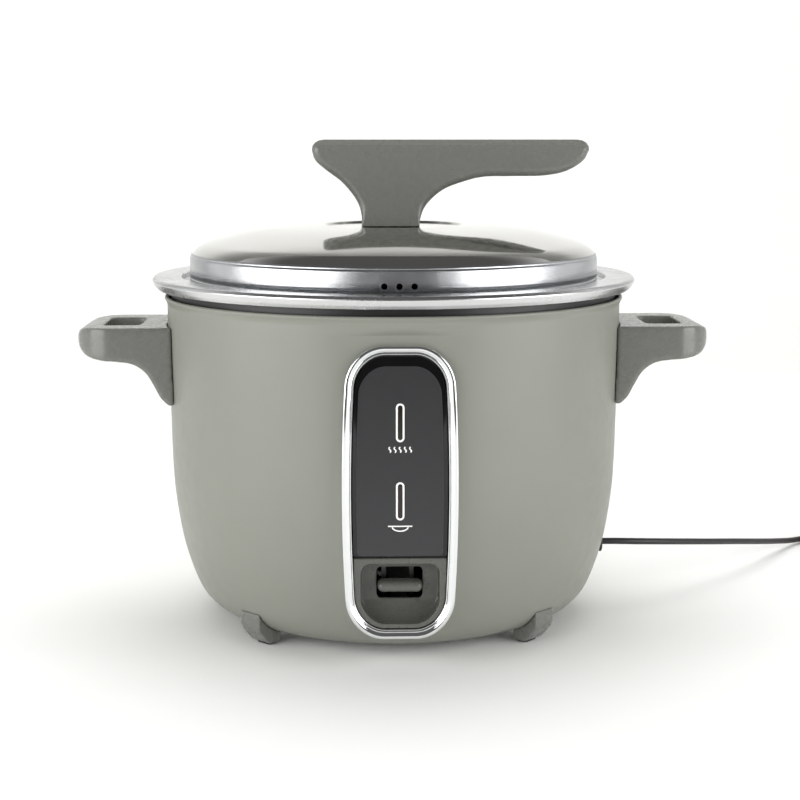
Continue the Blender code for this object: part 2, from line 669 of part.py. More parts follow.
# ---- pot and lid -------------------------------------------------------------------------
def make_pot():
    wall = POT_WALL
    inside = POT_RADIUS - wall
    low = POT_FLOOR_Z
    outer_corner = arc((POT_RADIUS - POT_CORNER, low + POT_CORNER), POT_CORNER, 0, -90, 4)
    inner_corner = arc((POT_RADIUS - POT_CORNER, low + POT_CORNER), POT_CORNER - wall, -90, 0, 4)
    profile = (
        [(138.5, FLANGE_TOP), (155.8, FLANGE_TOP), (FLANGE_RADIUS, FLANGE_TOP - 1.2)]
        + [(155.4, 219.4), (153.0, FLANGE_BOTTOM), (151.2, FLANGE_BOTTOM), (151.5, 222.7)]
        + [(140.2, 222.7), (138.6, 218.7), (POT_RADIUS, 218.7)]
        + outer_corner + [(0, low), (0, low + wall)] + inner_corner
        + [(inside, 218.9), (129.2, 220.5), (137.4, 220.5)]
    )
    # The loop is opened at the axis, where the floor's two sides meet it.
    start = profile.index((0, low + wall))
    loop = profile[start:] + profile[:start]
    pot = finish(turned("inner_pot", loop, ring=False), "spun_aluminium")
    hung_on(new_axis("pot_axis", (0, 0, POT_FLOOR_Z)), pot)


def make_lid():
    axis = new_axis("lid_axis", (0, 0, 221))
    floor_z = LID_SIDE[0][1]
    hole = 2.6
    outside = [(hole, floor_z)] + LID_SIDE
    inside = offset_side(LID_SIDE[2:], -LID_WALL)
    inside[-1] = (inside[-1][0], LID_SIDE[-1][1])
    back = [(hole, floor_z - LID_WALL), (45.0, floor_z - LID_WALL)] + inside
    lid = turned("lid_shell", outside + list(reversed(back)))
    for x in (-VENT_PITCH, 0, VENT_PITCH):
        cut(lid, rod(f"vent_hole_{x:+.0f}", VENT_RADIUS, (x, -140, VENT_Z), (x, -120, VENT_Z), 12))
    finish(lid, "polished_steel")

    screw_profile = [(0, 266), (2.2, 266), (2.2, 252.9), (5, 252.9), (5, 251.2), (3.4, 250.2), (0, 250.2)]
    screw = finish(turned("lid_handle_screw", screw_profile, ring=False, steps=16), "zinc_steel")
    washer_top = floor_z - LID_WALL - GAP
    washer_profile = [(9, washer_top), (9, 253.2), (hole, 253.2), (hole, washer_top)]
    washer = finish(turned("lid_washer", washer_profile, steps=24), "zinc_steel")
    hung_on(axis, lid, make_lid_handle(), screw, washer)


def make_lid_handle():
    """A flat-topped bar on an offset stem, like a lopsided T."""
    base, top, tip_z = 256.2, 311.5, 304.8
    left = [
        (-20.7, base), (-20.9, 263.0), (-24.0, 272.6), (-33.0, 284.0), (-43.7, 292.2),
        (-50.6, 298.4), (-52.7, tip_z),
    ]
    right = [
        (125.7, tip_z), (121.9, 298.0), (111.5, 291.6), (97.0, 288.6), (78.0, 288.2), (58.0, 287.8),
        (45.0, 284.8), (31.0, 279.2), (20.6, 269.6), (16.6, 260.0), (16.6, base),
    ]
    curves = [smooth_through([(x, 0, z) for x, z in side], 7) for side in (left, right)]
    outline = [(x, z) for x, _, z in curves[0]] + [(-48, 310.6), (-45, top), (118, top), (121.5, 310.4)]
    outline += [(x, z) for x, _, z in curves[1]]
    handle = rounded(plate("lid_handle", outline, -17, 17, "Y"), 3.0, 2, 60)
    cut(handle, rod("handle_bore", 2.6, (0, 0, 250), (0, 0, 267), 16))
    return finish(handle, "grey_plastic")


def main():
    envelope = casing_form("casing_envelope", GAP)
    make_casing()
    make_top_ring()
    make_liner()
    make_base()
    make_feet(envelope)
    make_side_handle("side_handle_right", False, envelope)
    make_side_handle("side_handle_left", True, envelope)
    make_panel(envelope)
    make_switch_housing()
    make_lever()
    make_microswitch()
    make_heater()
    make_thermostat()
    make_wiring()
    make_cord(envelope)
    make_pot()
    make_lid()


main()
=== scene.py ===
# %% [markdown]
# # A rice cooker, looked at from the kitchen table
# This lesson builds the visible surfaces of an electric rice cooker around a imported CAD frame.
# Every piece is placed from the frame's own boxes, in metres. Profiles are written in
# millimetres, because that is how sheet metal and mouldings are drawn.

# %% Load the frame
import math

import bmesh
import bpy
from mathutils import Matrix, Vector


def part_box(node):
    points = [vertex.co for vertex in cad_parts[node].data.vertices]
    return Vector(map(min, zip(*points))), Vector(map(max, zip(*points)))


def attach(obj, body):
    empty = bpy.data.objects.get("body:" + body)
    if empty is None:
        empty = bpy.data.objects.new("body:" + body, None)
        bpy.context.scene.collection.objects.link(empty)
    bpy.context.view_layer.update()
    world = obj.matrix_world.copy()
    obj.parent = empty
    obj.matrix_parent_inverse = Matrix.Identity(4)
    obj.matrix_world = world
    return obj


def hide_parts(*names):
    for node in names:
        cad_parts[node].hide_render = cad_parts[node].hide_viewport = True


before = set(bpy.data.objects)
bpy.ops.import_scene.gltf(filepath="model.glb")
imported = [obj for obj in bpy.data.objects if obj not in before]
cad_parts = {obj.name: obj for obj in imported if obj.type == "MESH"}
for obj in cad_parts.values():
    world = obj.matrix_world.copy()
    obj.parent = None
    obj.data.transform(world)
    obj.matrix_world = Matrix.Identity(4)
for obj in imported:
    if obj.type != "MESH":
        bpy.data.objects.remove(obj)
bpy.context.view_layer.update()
MM = 0.001


def top_of(node):
    """A node's highest corner in millimetres."""
    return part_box(node)[1] / MM


def bottom_of(node):
    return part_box(node)[0] / MM


# %% [markdown]
# ## Camera
# A short telephoto on a tripod, a little above the lid and about a metre away. It stands a
# degree and a half left of the panel's centre line and looks down by nine degrees.

# %% Camera
CAMERA_DISTANCE, CAMERA_HEIGHT = 1.099, 0.3173
CAMERA_AZIMUTH, CAMERA_PITCH = math.radians(-1.5), math.radians(-9.145)
CAMERA_PAN = math.radians(-0.222)

camera = bpy.data.objects.new("camera", bpy.data.cameras.new("camera"))
bpy.context.scene.collection.objects.link(camera)
camera.location = (
    CAMERA_DISTANCE * math.sin(CAMERA_AZIMUTH),
    -CAMERA_DISTANCE * math.cos(CAMERA_AZIMUTH),
    CAMERA_HEIGHT,
)
camera.rotation_euler = (math.pi / 2 + CAMERA_PITCH, 0, CAMERA_AZIMUTH + CAMERA_PAN)
camera.data.sensor_width = 36.0
camera.data.lens = 75.35
bpy.context.scene.camera = camera
print("camera at", [round(v, 3) for v in camera.location])


# %% [markdown]
# ## Small makers
# A material is a node tree, so one function adds a node with its settings and links. Colours
# are written as sRGB hex, the way a paint chart gives them, and one function makes them linear.

# %% Node and colour helpers
def linear(hex_colour):
    parts = [int(hex_colour[i:i + 2], 16) / 255 for i in (1, 3, 5)]
    return [p / 12.92 if p <= 0.04045 else ((p + 0.055) / 1.055) ** 2.4 for p in parts] + [1.0]


def node(tree, kind, settings=None, **inputs):
    """Adds a node. settings are its own properties; inputs are values or sockets to link."""
    made = tree.nodes.new(kind)
    for name, value in (settings or {}).items():
        setattr(made, name, value)
    for name, value in inputs.items():
        key = int(name[1:]) if name[0] == "i" and name[1:].isdigit() else name.replace("_", " ")
        socket = made.inputs[key]
        if isinstance(value, bpy.types.NodeSocket):
            tree.links.new(value, socket)
        else:
            socket.default_value = value
    return made


def new_material(name, hex_colour, **inputs):
    """A Principled material: returns it, its tree, its shader and its Object coordinates."""
    made = bpy.data.materials.new(name)
    made.use_nodes = True
    tree = made.node_tree
    shader = tree.nodes["Principled BSDF"]
    shader.inputs["Base Color"].default_value = linear(hex_colour)
    for key, value in inputs.items():
        shader.inputs[key.replace("_", " ")].default_value = value
    place = node(tree, "ShaderNodeTexCoord").outputs["Object"]
    return made, tree, shader, place


def noise(tree, place, size_mm, detail=2.0, roughness=0.5):
    """Noise whose features are about size_mm across."""
    made = node(tree, "ShaderNodeTexNoise", Vector=place, Scale=1000 / size_mm, Detail=detail,
                Roughness=roughness)
    return made.outputs["Fac"]


def spread(tree, value, low, high, start=0.3, end=0.7):
    """Maps a noise value to a range."""
    made = node(tree, "ShaderNodeMapRange", i0=value, i1=start, i2=end, i3=low, i4=high)
    return made.outputs["Result"]


def shades(tree, shader, value, dark, light):
    """Mixes two near colours into the base colour by a noise value."""
    mix = node(tree, "ShaderNodeMix", {"data_type": "RGBA"}, i0=value, i6=linear(dark), i7=linear(light))
    tree.links.new(mix.outputs[2], shader.inputs["Base Color"])


def bump(tree, shader, height, depth_mm, strength=1.0):
    made = node(tree, "ShaderNodeBump", Height=height, Strength=strength, Distance=depth_mm * MM)
    tree.links.new(made.outputs["Normal"], shader.inputs["Normal"])


def roughness_from(tree, shader, value):
    tree.links.new(value, shader.inputs["Roughness"])


# %% Mesh helpers
def link(name, mesh, material, body, *replaced):
    """Puts a finished mesh in the scene, on its body, in place of CAD nodes."""
    mesh.name = name
    mesh.materials.clear()
    mesh.materials.append(material)
    obj = bpy.data.objects.new(name, mesh)
    bpy.context.scene.collection.objects.link(obj)
    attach(obj, body)
    if replaced:
        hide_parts(*replaced)
    return obj


def smooth(mesh, angle=32):
    mesh.shade_smooth()
    mesh.set_sharp_from_angle(angle=math.radians(angle))
    return mesh


def baked(obj):
    """The evaluated mesh of an object that was only a step on the way; the object goes."""
    bpy.context.view_layer.update()
    graph = bpy.context.evaluated_depsgraph_get()
    mesh = bpy.data.meshes.new_from_object(obj.evaluated_get(graph))
    mesh.transform(obj.matrix_world)
    bpy.data.objects.remove(obj)
    return mesh


def helper(name, mesh):
    obj = bpy.data.objects.new(name, mesh)
    bpy.context.scene.collection.objects.link(obj)
    return obj


def loft(loops, close_ends=True, ring=False):
    """Joins loops of equal length, in millimetres, into a skin. ring joins the last to the first."""
    shape = bmesh.new()
    rows = [[shape.verts.new(Vector(p) * MM) for p in loop] for loop in loops]
    pairs = list(zip(rows, rows[1:])) + ([(rows[-1], rows[0])] if ring else [])
    for a, b in pairs:
        for i in range(len(a)):
            j = (i + 1) % len(a)
            shape.faces.new((a[i], a[j], b[j], b[i]))
    if close_ends and not ring:
        shape.faces.new(list(reversed(rows[0])))
        shape.faces.new(rows[-1])
    bmesh.ops.recalc_face_normals(shape, faces=shape.faces)
    mesh = bpy.data.meshes.new("loft")
    shape.to_mesh(mesh)
    shape.free()
    return mesh


def carved(mesh, *cutters, operation="DIFFERENCE"):
    """The mesh with others taken away. Each cutter is a mesh."""
    obj = helper("carved", mesh)
    tools = [helper("cutter", cutter) for cutter in cutters]
    for tool in tools:
        boolean = obj.modifiers.new("Cut", "BOOLEAN")
        boolean.operation = operation
        boolean.object = tool
    made = baked(obj)
    for tool in tools:
        bpy.data.objects.remove(tool)
    return made


def arc(centre, radius, first, last, pieces):
    angles = [math.radians(first + (last - first) * i / pieces) for i in range(pieces + 1)]
    return [(centre[0] + radius * math.cos(a), centre[1] + radius * math.sin(a)) for a in angles]


def corners(points, closed=False, pieces=5):
    """A line through points (u, v) or (u, v, radius), with an arc at each corner that has one."""
    made = []
    for i, point in enumerate(points):
        here = Vector(point[:2])
        inside = closed or 0 < i < len(points) - 1
        if len(point) < 3 or not inside:
            made.append(tuple(here))
            continue
        before = Vector(points[i - 1][:2]) - here
        after = Vector(points[(i + 1) % len(points)][:2]) - here
        half = before.angle(after) / 2
        reach = min(point[2] / math.tan(half), before.length * 0.49, after.length * 0.49)
        radius = reach * math.tan(half)
        middle = here + (before.normalized() + after.normalized()).normalized() * radius / math.sin(half)
        start = here + before.normalized() * reach - middle
        end = here + after.normalized() * reach - middle
        turn = start.angle_signed(end)
        for k in range(pieces + 1):
            made.append(tuple(middle + Matrix.Rotation(-turn * k / pieces, 2) @ start))
    return made


def through(route, step):
    """Points about a step apart on a smooth curve through the route."""
    ends = [2 * Vector(route[0]) - Vector(route[1]), 2 * Vector(route[-1]) - Vector(route[-2])]
    knots = [ends[0]] + [Vector(p) for p in route] + [ends[1]]
    found = []
    for a, b, c, d in zip(knots, knots[1:], knots[2:], knots[3:]):
        pieces = max(1, round((c - b).length / step))
        for i in range(pieces):
            t = i / pieces
            found.append(0.5 * (2 * b + (c - a) * t + (2 * a - 5 * b + 4 * c - d) * t * t
                                + (3 * b - a - 3 * c + d) * t**3))
    return found + [knots[-2]]


# %% [markdown]
# ## Mains lead
# A round PVC lead of 4.3 mm. It comes straight out of its gland, sinks to the table as it
# swings to the back, and then its spare length lies in a neat two-layer coil with the plug
# beside it. The lead comes early because its coil decides how much room the cooker takes.

# %% Route and coil
CORD_DIAMETER = 4.3
CORD_ROUTE = [
    (141.3, 5.0, 41.9), (150.0, 5.3, 41.8), (165.0, 8.0, 40.8), (185.0, 17.0, 38.3),
    (207.0, 33.0, 34.1), (230.0, 54.0, 28.7), (253.0, 79.0, 22.4), (275.0, 106.0, 15.5),
    (295.0, 133.0, 8.9), (313.0, 155.0, 4.0), (331.5, 170.2, 2.5), (345.0, 175.8, 2.3),
]
COIL_LOW = CORD_DIAMETER / 2 + 0.15
COIL_HIGH = COIL_LOW + CORD_DIAMETER
coil_middle = [(a + b) / 2 for a, b in zip(bottom_of("cord_coil"), top_of("cord_coil"))]
coil_radius = (top_of("cord_coil")[0] - bottom_of("cord_coil")[0]) / 2 - CORD_DIAMETER * 1.5 - 0.1
COIL_PLAN = [(1, COIL_LOW), (0, COIL_LOW), (-1, COIL_LOW), (-1, COIL_HIGH), (0, COIL_HIGH), (1, COIL_HIGH)]
COIL_TURNS, COIL_STEPS = 5.25, 30


def ease(t):
    t = min(1.0, max(0.0, t))
    return t * t * (3 - 2 * t)


def coil_point(turns):
    """Clockwise from the far side. Each turn moves over to the next in its last quarter."""
    lap = min(int(turns), len(COIL_PLAN) - 2)
    # The upper layer moves over a quarter turn earlier, so that it clears the climb.
    early = 0.25 if lap >= 3 else 0.0
    mix = ease((turns - lap - 3 / 4 + early) * 4)
    lane = COIL_PLAN[lap][0] * (1 - mix) + COIL_PLAN[lap + 1][0] * mix
    height = COIL_PLAN[lap][1] * (1 - mix) + COIL_PLAN[lap + 1][1] * mix
    radius = coil_radius + CORD_DIAMETER * lane
    angle = math.pi / 2 - 2 * math.pi * turns
    return Vector((coil_middle[0] + radius * math.cos(angle),
                   coil_middle[1] + radius * math.sin(angle), height))


coil = [coil_point(i / COIL_STEPS) for i in range(round(COIL_TURNS * COIL_STEPS) + 1)]
plug_entry = Vector((coil[-1].x, top_of("plug_body")[1] - 2.0, 7.2))
tail = [coil[-1].lerp(plug_entry, t) for t in (0.33, 0.66, 1.0)]
for i, t in enumerate((0.33, 0.66, 1.0)):
    tail[i].z = coil[-1].z + (plug_entry.z - coil[-1].z) * ease(t)
cord_line = through(CORD_ROUTE + [tuple(coil[0])], 9)[:-1] + coil + tail
cord_length = sum((b - a).length for a, b in zip(cord_line, cord_line[1:])) * MM

curve = bpy.data.curves.new("mains_lead", "CURVE")
curve.dimensions = "3D"
curve.bevel_depth = CORD_DIAMETER / 2 * MM
curve.bevel_resolution = 5
curve.use_fill_caps = True
spline = curve.splines.new("POLY")
spline.points.add(len(cord_line) - 1)
for point, place in zip(spline.points, cord_line):
    point.co = (*(place * MM), 1)
mains_lead = helper("mains_lead", curve)
print("lead", round(cord_length, 3), "m,", len(cord_line), "points")

# %% [markdown]
# ## Turned pieces by Geometry Nodes
# A bowl, a lid, a pot and a ring are all one profile spun about the cooker's axis. The node
# group lays a grid over the profile, turns each column by its share of a full circle, welds
# the seam and sets the material. One group serves every turned piece, each with its own steps.

# %% The turned-piece group
def turned_group():
    tree = bpy.data.node_groups.new("Turned piece", "GeometryNodeTree")
    for name, kind in (("Profile", "Geometry"), ("Steps", "Int"), ("Material", "Material")):
        tree.interface.new_socket(name, in_out="INPUT", socket_type="NodeSocket" + kind)
    tree.interface.new_socket("Piece", in_out="OUTPUT", socket_type="NodeSocketGeometry")
    given = node(tree, "NodeGroupInput").outputs

    def maths(operation, a, b=0.0):
        return node(tree, "ShaderNodeMath", {"operation": operation}, i0=a, i1=b).outputs[0]

    size = node(tree, "GeometryNodeAttributeDomainSize", Geometry=given["Profile"])
    columns = maths("ADD", given["Steps"], 1)
    grid = node(tree, "GeometryNodeMeshGrid", Vertices_X=size.outputs["Point Count"], Vertices_Y=columns)
    index = node(tree, "GeometryNodeInputIndex").outputs[0]
    row = maths("FLOOR", maths("DIVIDE", maths("ADD", index, 0.5), columns))
    column = maths("SUBTRACT", index, maths("MULTIPLY", row, columns))
    angle = maths("DIVIDE", maths("MULTIPLY", column, 2 * math.pi), given["Steps"])
    here = node(tree, "GeometryNodeInputPosition").outputs[0]
    sample = node(tree, "GeometryNodeSampleIndex", {"data_type": "FLOAT_VECTOR"},
                  Geometry=given["Profile"], Value=here, Index=row)
    spun = node(tree, "ShaderNodeVectorRotate", {"rotation_type": "Z_AXIS"},
                Vector=sample.outputs["Value"], Angle=angle)
    placed = node(tree, "GeometryNodeSetPosition", Geometry=grid.outputs["Mesh"], Position=spun.outputs[0])
    welded = node(tree, "GeometryNodeMergeByDistance", Geometry=placed.outputs[0], Distance=1e-6)
    real = node(tree, "GeometryNodeRealizeInstances", Geometry=welded.outputs[0])
    done = node(tree, "GeometryNodeSetMaterial", Geometry=real.outputs[0], Material=given["Material"])
    node(tree, "NodeGroupOutput", Piece=done.outputs[0])
    return tree


TURNED = turned_group()


def run_group(tree, mesh, **values):
    """Runs a node group on a mesh and returns what comes out of it."""
    obj = helper("step", mesh)
    modifier = obj.modifiers.new("Nodes", "NODES")
    modifier.node_group = tree
    for item in tree.interface.items_tree:
        if item.in_out == "INPUT" and item.name in values:
            modifier[item.identifier] = values[item.name]
    return baked(obj)


def turned(profile, material, steps=192, closed=True, sharp=32):
    """Spins a profile of (radius, height) in millimetres. A closed one comes back to its start."""
    points = profile + profile[:1] if closed else profile
    mesh = bpy.data.meshes.new("profile")
    mesh.from_pydata([(r * MM, 0, z * MM) for r, z in points], [], [])
    made = run_group(TURNED, mesh, Steps=steps, Material=material)
    shape = bmesh.new()
    shape.from_mesh(made)
    if shape.calc_volume(signed=True) < 0:
        bmesh.ops.reverse_faces(shape, faces=shape.faces)
    shape.to_mesh(made)
    shape.free()
    return smooth(made, sharp)


def fine(side, step=3.0):
    """More points on a profile, along a smooth curve through it."""
    return [(p.x, p.z) for p in through([(r, 0, z) for r, z in side], step)]


print("turned-piece group:", len(TURNED.nodes), "nodes")


# %% Copies in a ring, also by Geometry Nodes
def ring_group():
    """Copies of a mesh set round the axis at a radius, each turned to face outwards."""
    tree = bpy.data.node_groups.new("Ring of copies", "GeometryNodeTree")
    kinds = (("Copy", "Geometry"), ("Count", "Int"), ("Radius", "Float"), ("Height", "Float"),
             ("Turn", "Float"), ("Material", "Material"))
    for name, kind in kinds:
        tree.interface.new_socket(name, in_out="INPUT", socket_type="NodeSocket" + kind)
    tree.interface.new_socket("Copies", in_out="OUTPUT", socket_type="NodeSocketGeometry")
    given = node(tree, "NodeGroupInput").outputs
    points = node(tree, "GeometryNodePoints", Count=given["Count"])
    index = node(tree, "GeometryNodeInputIndex").outputs[0]
    share = node(tree, "ShaderNodeMath", {"operation": "DIVIDE"}, i0=index, i1=given["Count"]).outputs[0]
    angle = node(tree, "ShaderNodeMath", {"operation": "MULTIPLY_ADD"},
                 i0=share, i1=2 * math.pi, i2=given["Turn"]).outputs[0]
    out = node(tree, "ShaderNodeCombineXYZ", X=given["Radius"], Z=given["Height"]).outputs[0]
    place = node(tree, "ShaderNodeVectorRotate", {"rotation_type": "Z_AXIS"}, Vector=out, Angle=angle)
    spin = node(tree, "ShaderNodeCombineXYZ", Z=angle).outputs[0]
    placed = node(tree, "GeometryNodeSetPosition", Geometry=points.outputs[0], Position=place.outputs[0])
    copies = node(tree, "GeometryNodeInstanceOnPoints", Points=placed.outputs[0],
                  Instance=given["Copy"], Rotation=spin)
    real = node(tree, "GeometryNodeRealizeInstances", Geometry=copies.outputs[0])
    done = node(tree, "GeometryNodeSetMaterial", Geometry=real.outputs[0], Material=given["Material"])
    node(tree, "NodeGroupOutput", Copies=done.outputs[0])
    return tree


RING = ring_group()


def ring_of(mesh, count, radius_mm, height_mm, material, turn=0.0):
    return run_group(RING, mesh, Count=count, Radius=radius_mm * MM, Height=height_mm * MM,
                     Turn=math.radians(turn), Material=material)


# %% Plates, blocks and moulded pieces
AXES = {
    "X": Matrix(((0, 0, 1), (1, 0, 0), (0, 1, 0))),
    "Y": Matrix(((1, 0, 0), (0, 0, -1), (0, 1, 0))),
    "Z": Matrix.Identity(3),
}


def plate(outline, low, high, normal="Z"):
    """A flat outline given thickness. X plates are outlined in (y, z), Y plates in (x, z)."""
    turn = AXES[normal]
    sign = -1 if normal == "Y" else 1
    return loft([[turn @ Vector((u, v, sign * w)) for u, v in outline] for w in (low, high)])


def rounded_rectangle(low, high, radius, pieces=8):
    (x0, y0), (x1, y1) = low, high
    return (arc((x1 - radius, y1 - radius), radius, 0, 90, pieces)
            + arc((x0 + radius, y1 - radius), radius, 90, 180, pieces)
            + arc((x0 + radius, y0 + radius), radius, 180, 270, pieces)
            + arc((x1 - radius, y0 + radius), radius, 270, 360, pieces))


def moulded(mesh, voxel_mm, passes):
    """Softens every edge evenly, as an injection mould's corners are, and keeps one closed skin."""
    obj = helper("moulded", mesh)
    remesh = obj.modifiers.new("Skin", "REMESH")
    remesh.mode = "VOXEL"
    remesh.voxel_size = voxel_mm * MM
    soften = obj.modifiers.new("Soften", "SMOOTH")
    soften.factor = 0.5
    soften.iterations = passes
    made = baked(obj)
    made.shade_smooth()
    return made


# %% [markdown]
# ## Materials
# Most are what the real one is: a sprayed satin enamel, injection moulded plastics with their
# fine spark-eroded grain, buffed stainless steel, spun aluminium, chrome plate and PVC. Two carry
# painted light: the switch plastic is the grey plastic darkened as painted shade, and the
# panel's film is lightened low down as a painted reflection.

# %% Painted and moulded finishes
def sprayed_enamel():
    """Grey-beige enamel sprayed on steel: satin, with a faint orange peel."""
    made, tree, shader, place = new_material("sprayed_enamel", "#808279", Roughness=0.42)
    cloud = noise(tree, place, 60, 2)
    shades(tree, shader, cloud, "#7E8077", "#82847B")
    peel = noise(tree, place, 1.1, 2)
    bump(tree, shader, peel, 0.010, 0.6)
    roughness_from(tree, shader, spread(tree, noise(tree, place, 9, 3), 0.38, 0.46))
    return made


def moulded_plastic(name, dark, light, rough, grain_mm=0.5, depth_mm=0.012):
    """Injection moulded ABS with a fine grain from the mould and a slight uneven gloss."""
    made, tree, shader, place = new_material(name, light, Roughness=rough, IOR=1.53)
    shades(tree, shader, noise(tree, place, 25, 3), dark, light)
    bump(tree, shader, noise(tree, place, grain_mm, 2), depth_mm, 0.5)
    roughness_from(tree, shader, spread(tree, noise(tree, place, 6, 3), rough - 0.02, rough + 0.03))
    return made


def rubber(name, colour, light, rough):
    made, tree, shader, place = new_material(name, colour, Roughness=rough, IOR=1.52)
    shades(tree, shader, noise(tree, place, 6, 4), colour, light)
    bump(tree, shader, noise(tree, place, 0.35, 3), 0.02, 0.5)
    roughness_from(tree, shader, spread(tree, noise(tree, place, 2, 3), rough - 0.08, rough + 0.06))
    return made


ENAMEL = sprayed_enamel()
GREY_PLASTIC = moulded_plastic("grey_abs", "#696A65", "#6C6D68", 0.27, 0.35, 0.0012)
# Painted shade: the switch housing and the lever's paddle are the same grey plastic as the handles. This copy of it
# is darkened to stand in for the shade of their recess.
SHADED_SWITCH_PLASTIC = moulded_plastic("switch_abs_painted_shade", "#51524D", "#545550", 0.28, 0.35, 0.0012)
BLACK_PLASTIC = moulded_plastic("black_polypropylene", "#1A1A1A", "#202020", 0.45)
PAD_RUBBER = rubber("pad_rubber", "#161616", "#202020", 0.75)
LEAD_PVC = rubber("lead_pvc", "#1B1B1A", "#232322", 0.5)


# %% Metals
def round_the_axis(tree, place):
    """Distance from the cooker's axis, in metres."""
    parts = node(tree, "ShaderNodeSeparateXYZ", Vector=place).outputs
    flat = node(tree, "ShaderNodeCombineXYZ", X=parts["X"], Y=parts["Y"]).outputs[0]
    return node(tree, "ShaderNodeVectorMath", {"operation": "LENGTH"}, i0=flat).outputs["Value"], parts["Z"]


def spun_lines(tree, place, size_mm, detail=2.0):
    """Noise that changes with radius and height only, so that it makes rings round the axis."""
    radius, height = round_the_axis(tree, place)
    along = node(tree, "ShaderNodeCombineXYZ", X=radius, Y=height).outputs[0]
    return noise(tree, along, size_mm, detail)


def turned_metal(name, dark, light, rough, line_mm, depth_mm, tarnish=0.04, brushed=0.0):
    """Metal finished on a lathe: rings of fine lines, and handling marks that dull it in places."""
    made, tree, shader, place = new_material(name, light, Metallic=1.0, Roughness=rough)
    if brushed:
        shader.inputs["Anisotropic"].default_value = brushed
        rings = node(tree, "ShaderNodeTangent", {"direction_type": "RADIAL", "axis": "Z"})
        tree.links.new(rings.outputs["Tangent"], shader.inputs["Tangent"])
    shades(tree, shader, noise(tree, place, 40, 3), dark, light)
    lines = spun_lines(tree, place, line_mm, 3)
    bump(tree, shader, lines, depth_mm, 0.5)
    uneven = spread(tree, noise(tree, place, 18, 4), rough - tarnish / 2, rough + tarnish)
    ringed = node(tree, "ShaderNodeMath", {"operation": "MULTIPLY_ADD"}, i0=lines, i1=tarnish, i2=uneven)
    roughness_from(tree, shader, ringed.outputs[0])
    return made


def plated_metal(name, dark, light, rough, grain_mm=1.5, depth_mm=0.004):
    """Sheet or wire with a plated skin: fine pits and a mottled gloss."""
    made, tree, shader, place = new_material(name, light, Metallic=1.0, Roughness=rough)
    shades(tree, shader, noise(tree, place, 7, 4), dark, light)
    bump(tree, shader, noise(tree, place, grain_mm, 3), depth_mm, 0.4)
    roughness_from(tree, shader, spread(tree, noise(tree, place, 5, 3), rough * 0.8, rough * 1.25))
    return made


MIRROR_STEEL = turned_metal("mirror_steel", "#C6C5C1", "#CECDCA", 0.06, 0.6, 0.0006, 0.02)
BUFFED_STEEL = turned_metal("buffed_steel", "#C3C5C7", "#CCCDCF", 0.2, 0.5, 0.0006, 0.04, 0.85)
SPUN_ALUMINIUM = turned_metal("spun_aluminium", "#D3D4D5", "#DADBDB", 0.22, 0.4, 0.0025, 0.05, 0.5)
CAST_ALUMINIUM = turned_metal("cast_aluminium", "#9C9C9A", "#A9A9A6", 0.42, 0.9, 0.03, 0.1)
CHROME = plated_metal("chrome_plate", "#E2E4E5", "#E9EBEB", 0.05, 3.0, 0.0008)
ZINC = plated_metal("zinc_plate", "#9FA19C", "#B3B5AF", 0.36)
NICKEL = plated_metal("nickel_plate", "#C9C5B8", "#D6D2C5", 0.2)
FERRITE = moulded_plastic("sintered_ferrite", "#3A3836", "#454340", 0.7, 0.3, 0.03)
CERAMIC = moulded_plastic("glazed_ceramic", "#DAD7CC", "#E6E3DA", 0.32, 1.2, 0.01)
BOARD = moulded_plastic("phenolic_board", "#9A7B4A", "#AE8D58", 0.55, 0.4, 0.02)
BROWN_PVC = rubber("brown_pvc", "#5E3A22", "#6E4529", 0.5)
BLUE_PVC = rubber("blue_pvc", "#34508A", "#3F5D9A", 0.5)


# %% Panel finishes
def gloss_acrylic():
    """Black acrylic, polished, with the faint dust nibs that polishing leaves."""
    made, tree, shader, place = new_material("gloss_acrylic", "#08080A", Roughness=0.06, IOR=1.49)
    shades(tree, shader, noise(tree, place, 12, 2), "#070708", "#0A0A0B")
    bump(tree, shader, noise(tree, place, 4, 2), 0.002, 0.3)
    roughness_from(tree, shader, spread(tree, noise(tree, place, 8, 3), 0.05, 0.09))
    return made


def charcoal_film_painted_reflection():
    """A charcoal film with a fine matt grain. It is painted lighter low down and darker to its top: a painted
    reflection over the film's own dark charcoal.
    """
    made, tree, shader, place = new_material("charcoal_film_painted_reflection", "#2C2C2E", Roughness=0.42, IOR=1.5)
    height = node(tree, "ShaderNodeSeparateXYZ", Vector=place).outputs["Z"]
    # Painted reflection: the film is lighter low on the panel and darker towards the top.
    painted_reflection_fade = node(tree, "ShaderNodeMapRange", i0=height, i1=0.07, i2=0.19, i3=1.0, i4=0.0).outputs[0]
    shades(tree, shader, painted_reflection_fade, "#222224", "#313133")
    bump(tree, shader, noise(tree, place, 0.3, 2), 0.006, 0.4)
    roughness_from(tree, shader, spread(tree, noise(tree, place, 3, 3), 0.38, 0.46))
    return made


def tinted_lens(name, dark, light):
    made, tree, shader, place = new_material(name, light, Roughness=0.15, IOR=1.49)
    shades(tree, shader, noise(tree, place, 3, 2), dark, light)
    bump(tree, shader, noise(tree, place, 0.8, 2), 0.01, 0.4)
    roughness_from(tree, shader, spread(tree, noise(tree, place, 2, 2), 0.12, 0.2))
    return made


GLOSS = gloss_acrylic()
FILM = charcoal_film_painted_reflection()
WARM_LENS = tinted_lens("amber_lens", "#1E1B17", "#25211B")
COOK_LENS = tinted_lens("red_lens", "#201817", "#261C1B")
INK = moulded_plastic("screen_ink", "#E6E6E4", "#F0F0EE", 0.5, 0.4, 0.004)
print(len(bpy.data.materials), "materials")


# %% [markdown]
# ## Casing
# Sheet steel pressed to a bowl: 0.8 mm thick, its top edge rolled outwards, and a flat pressed
# in the front where the control panel sits. The flat's upper end slopes back to the round wall.

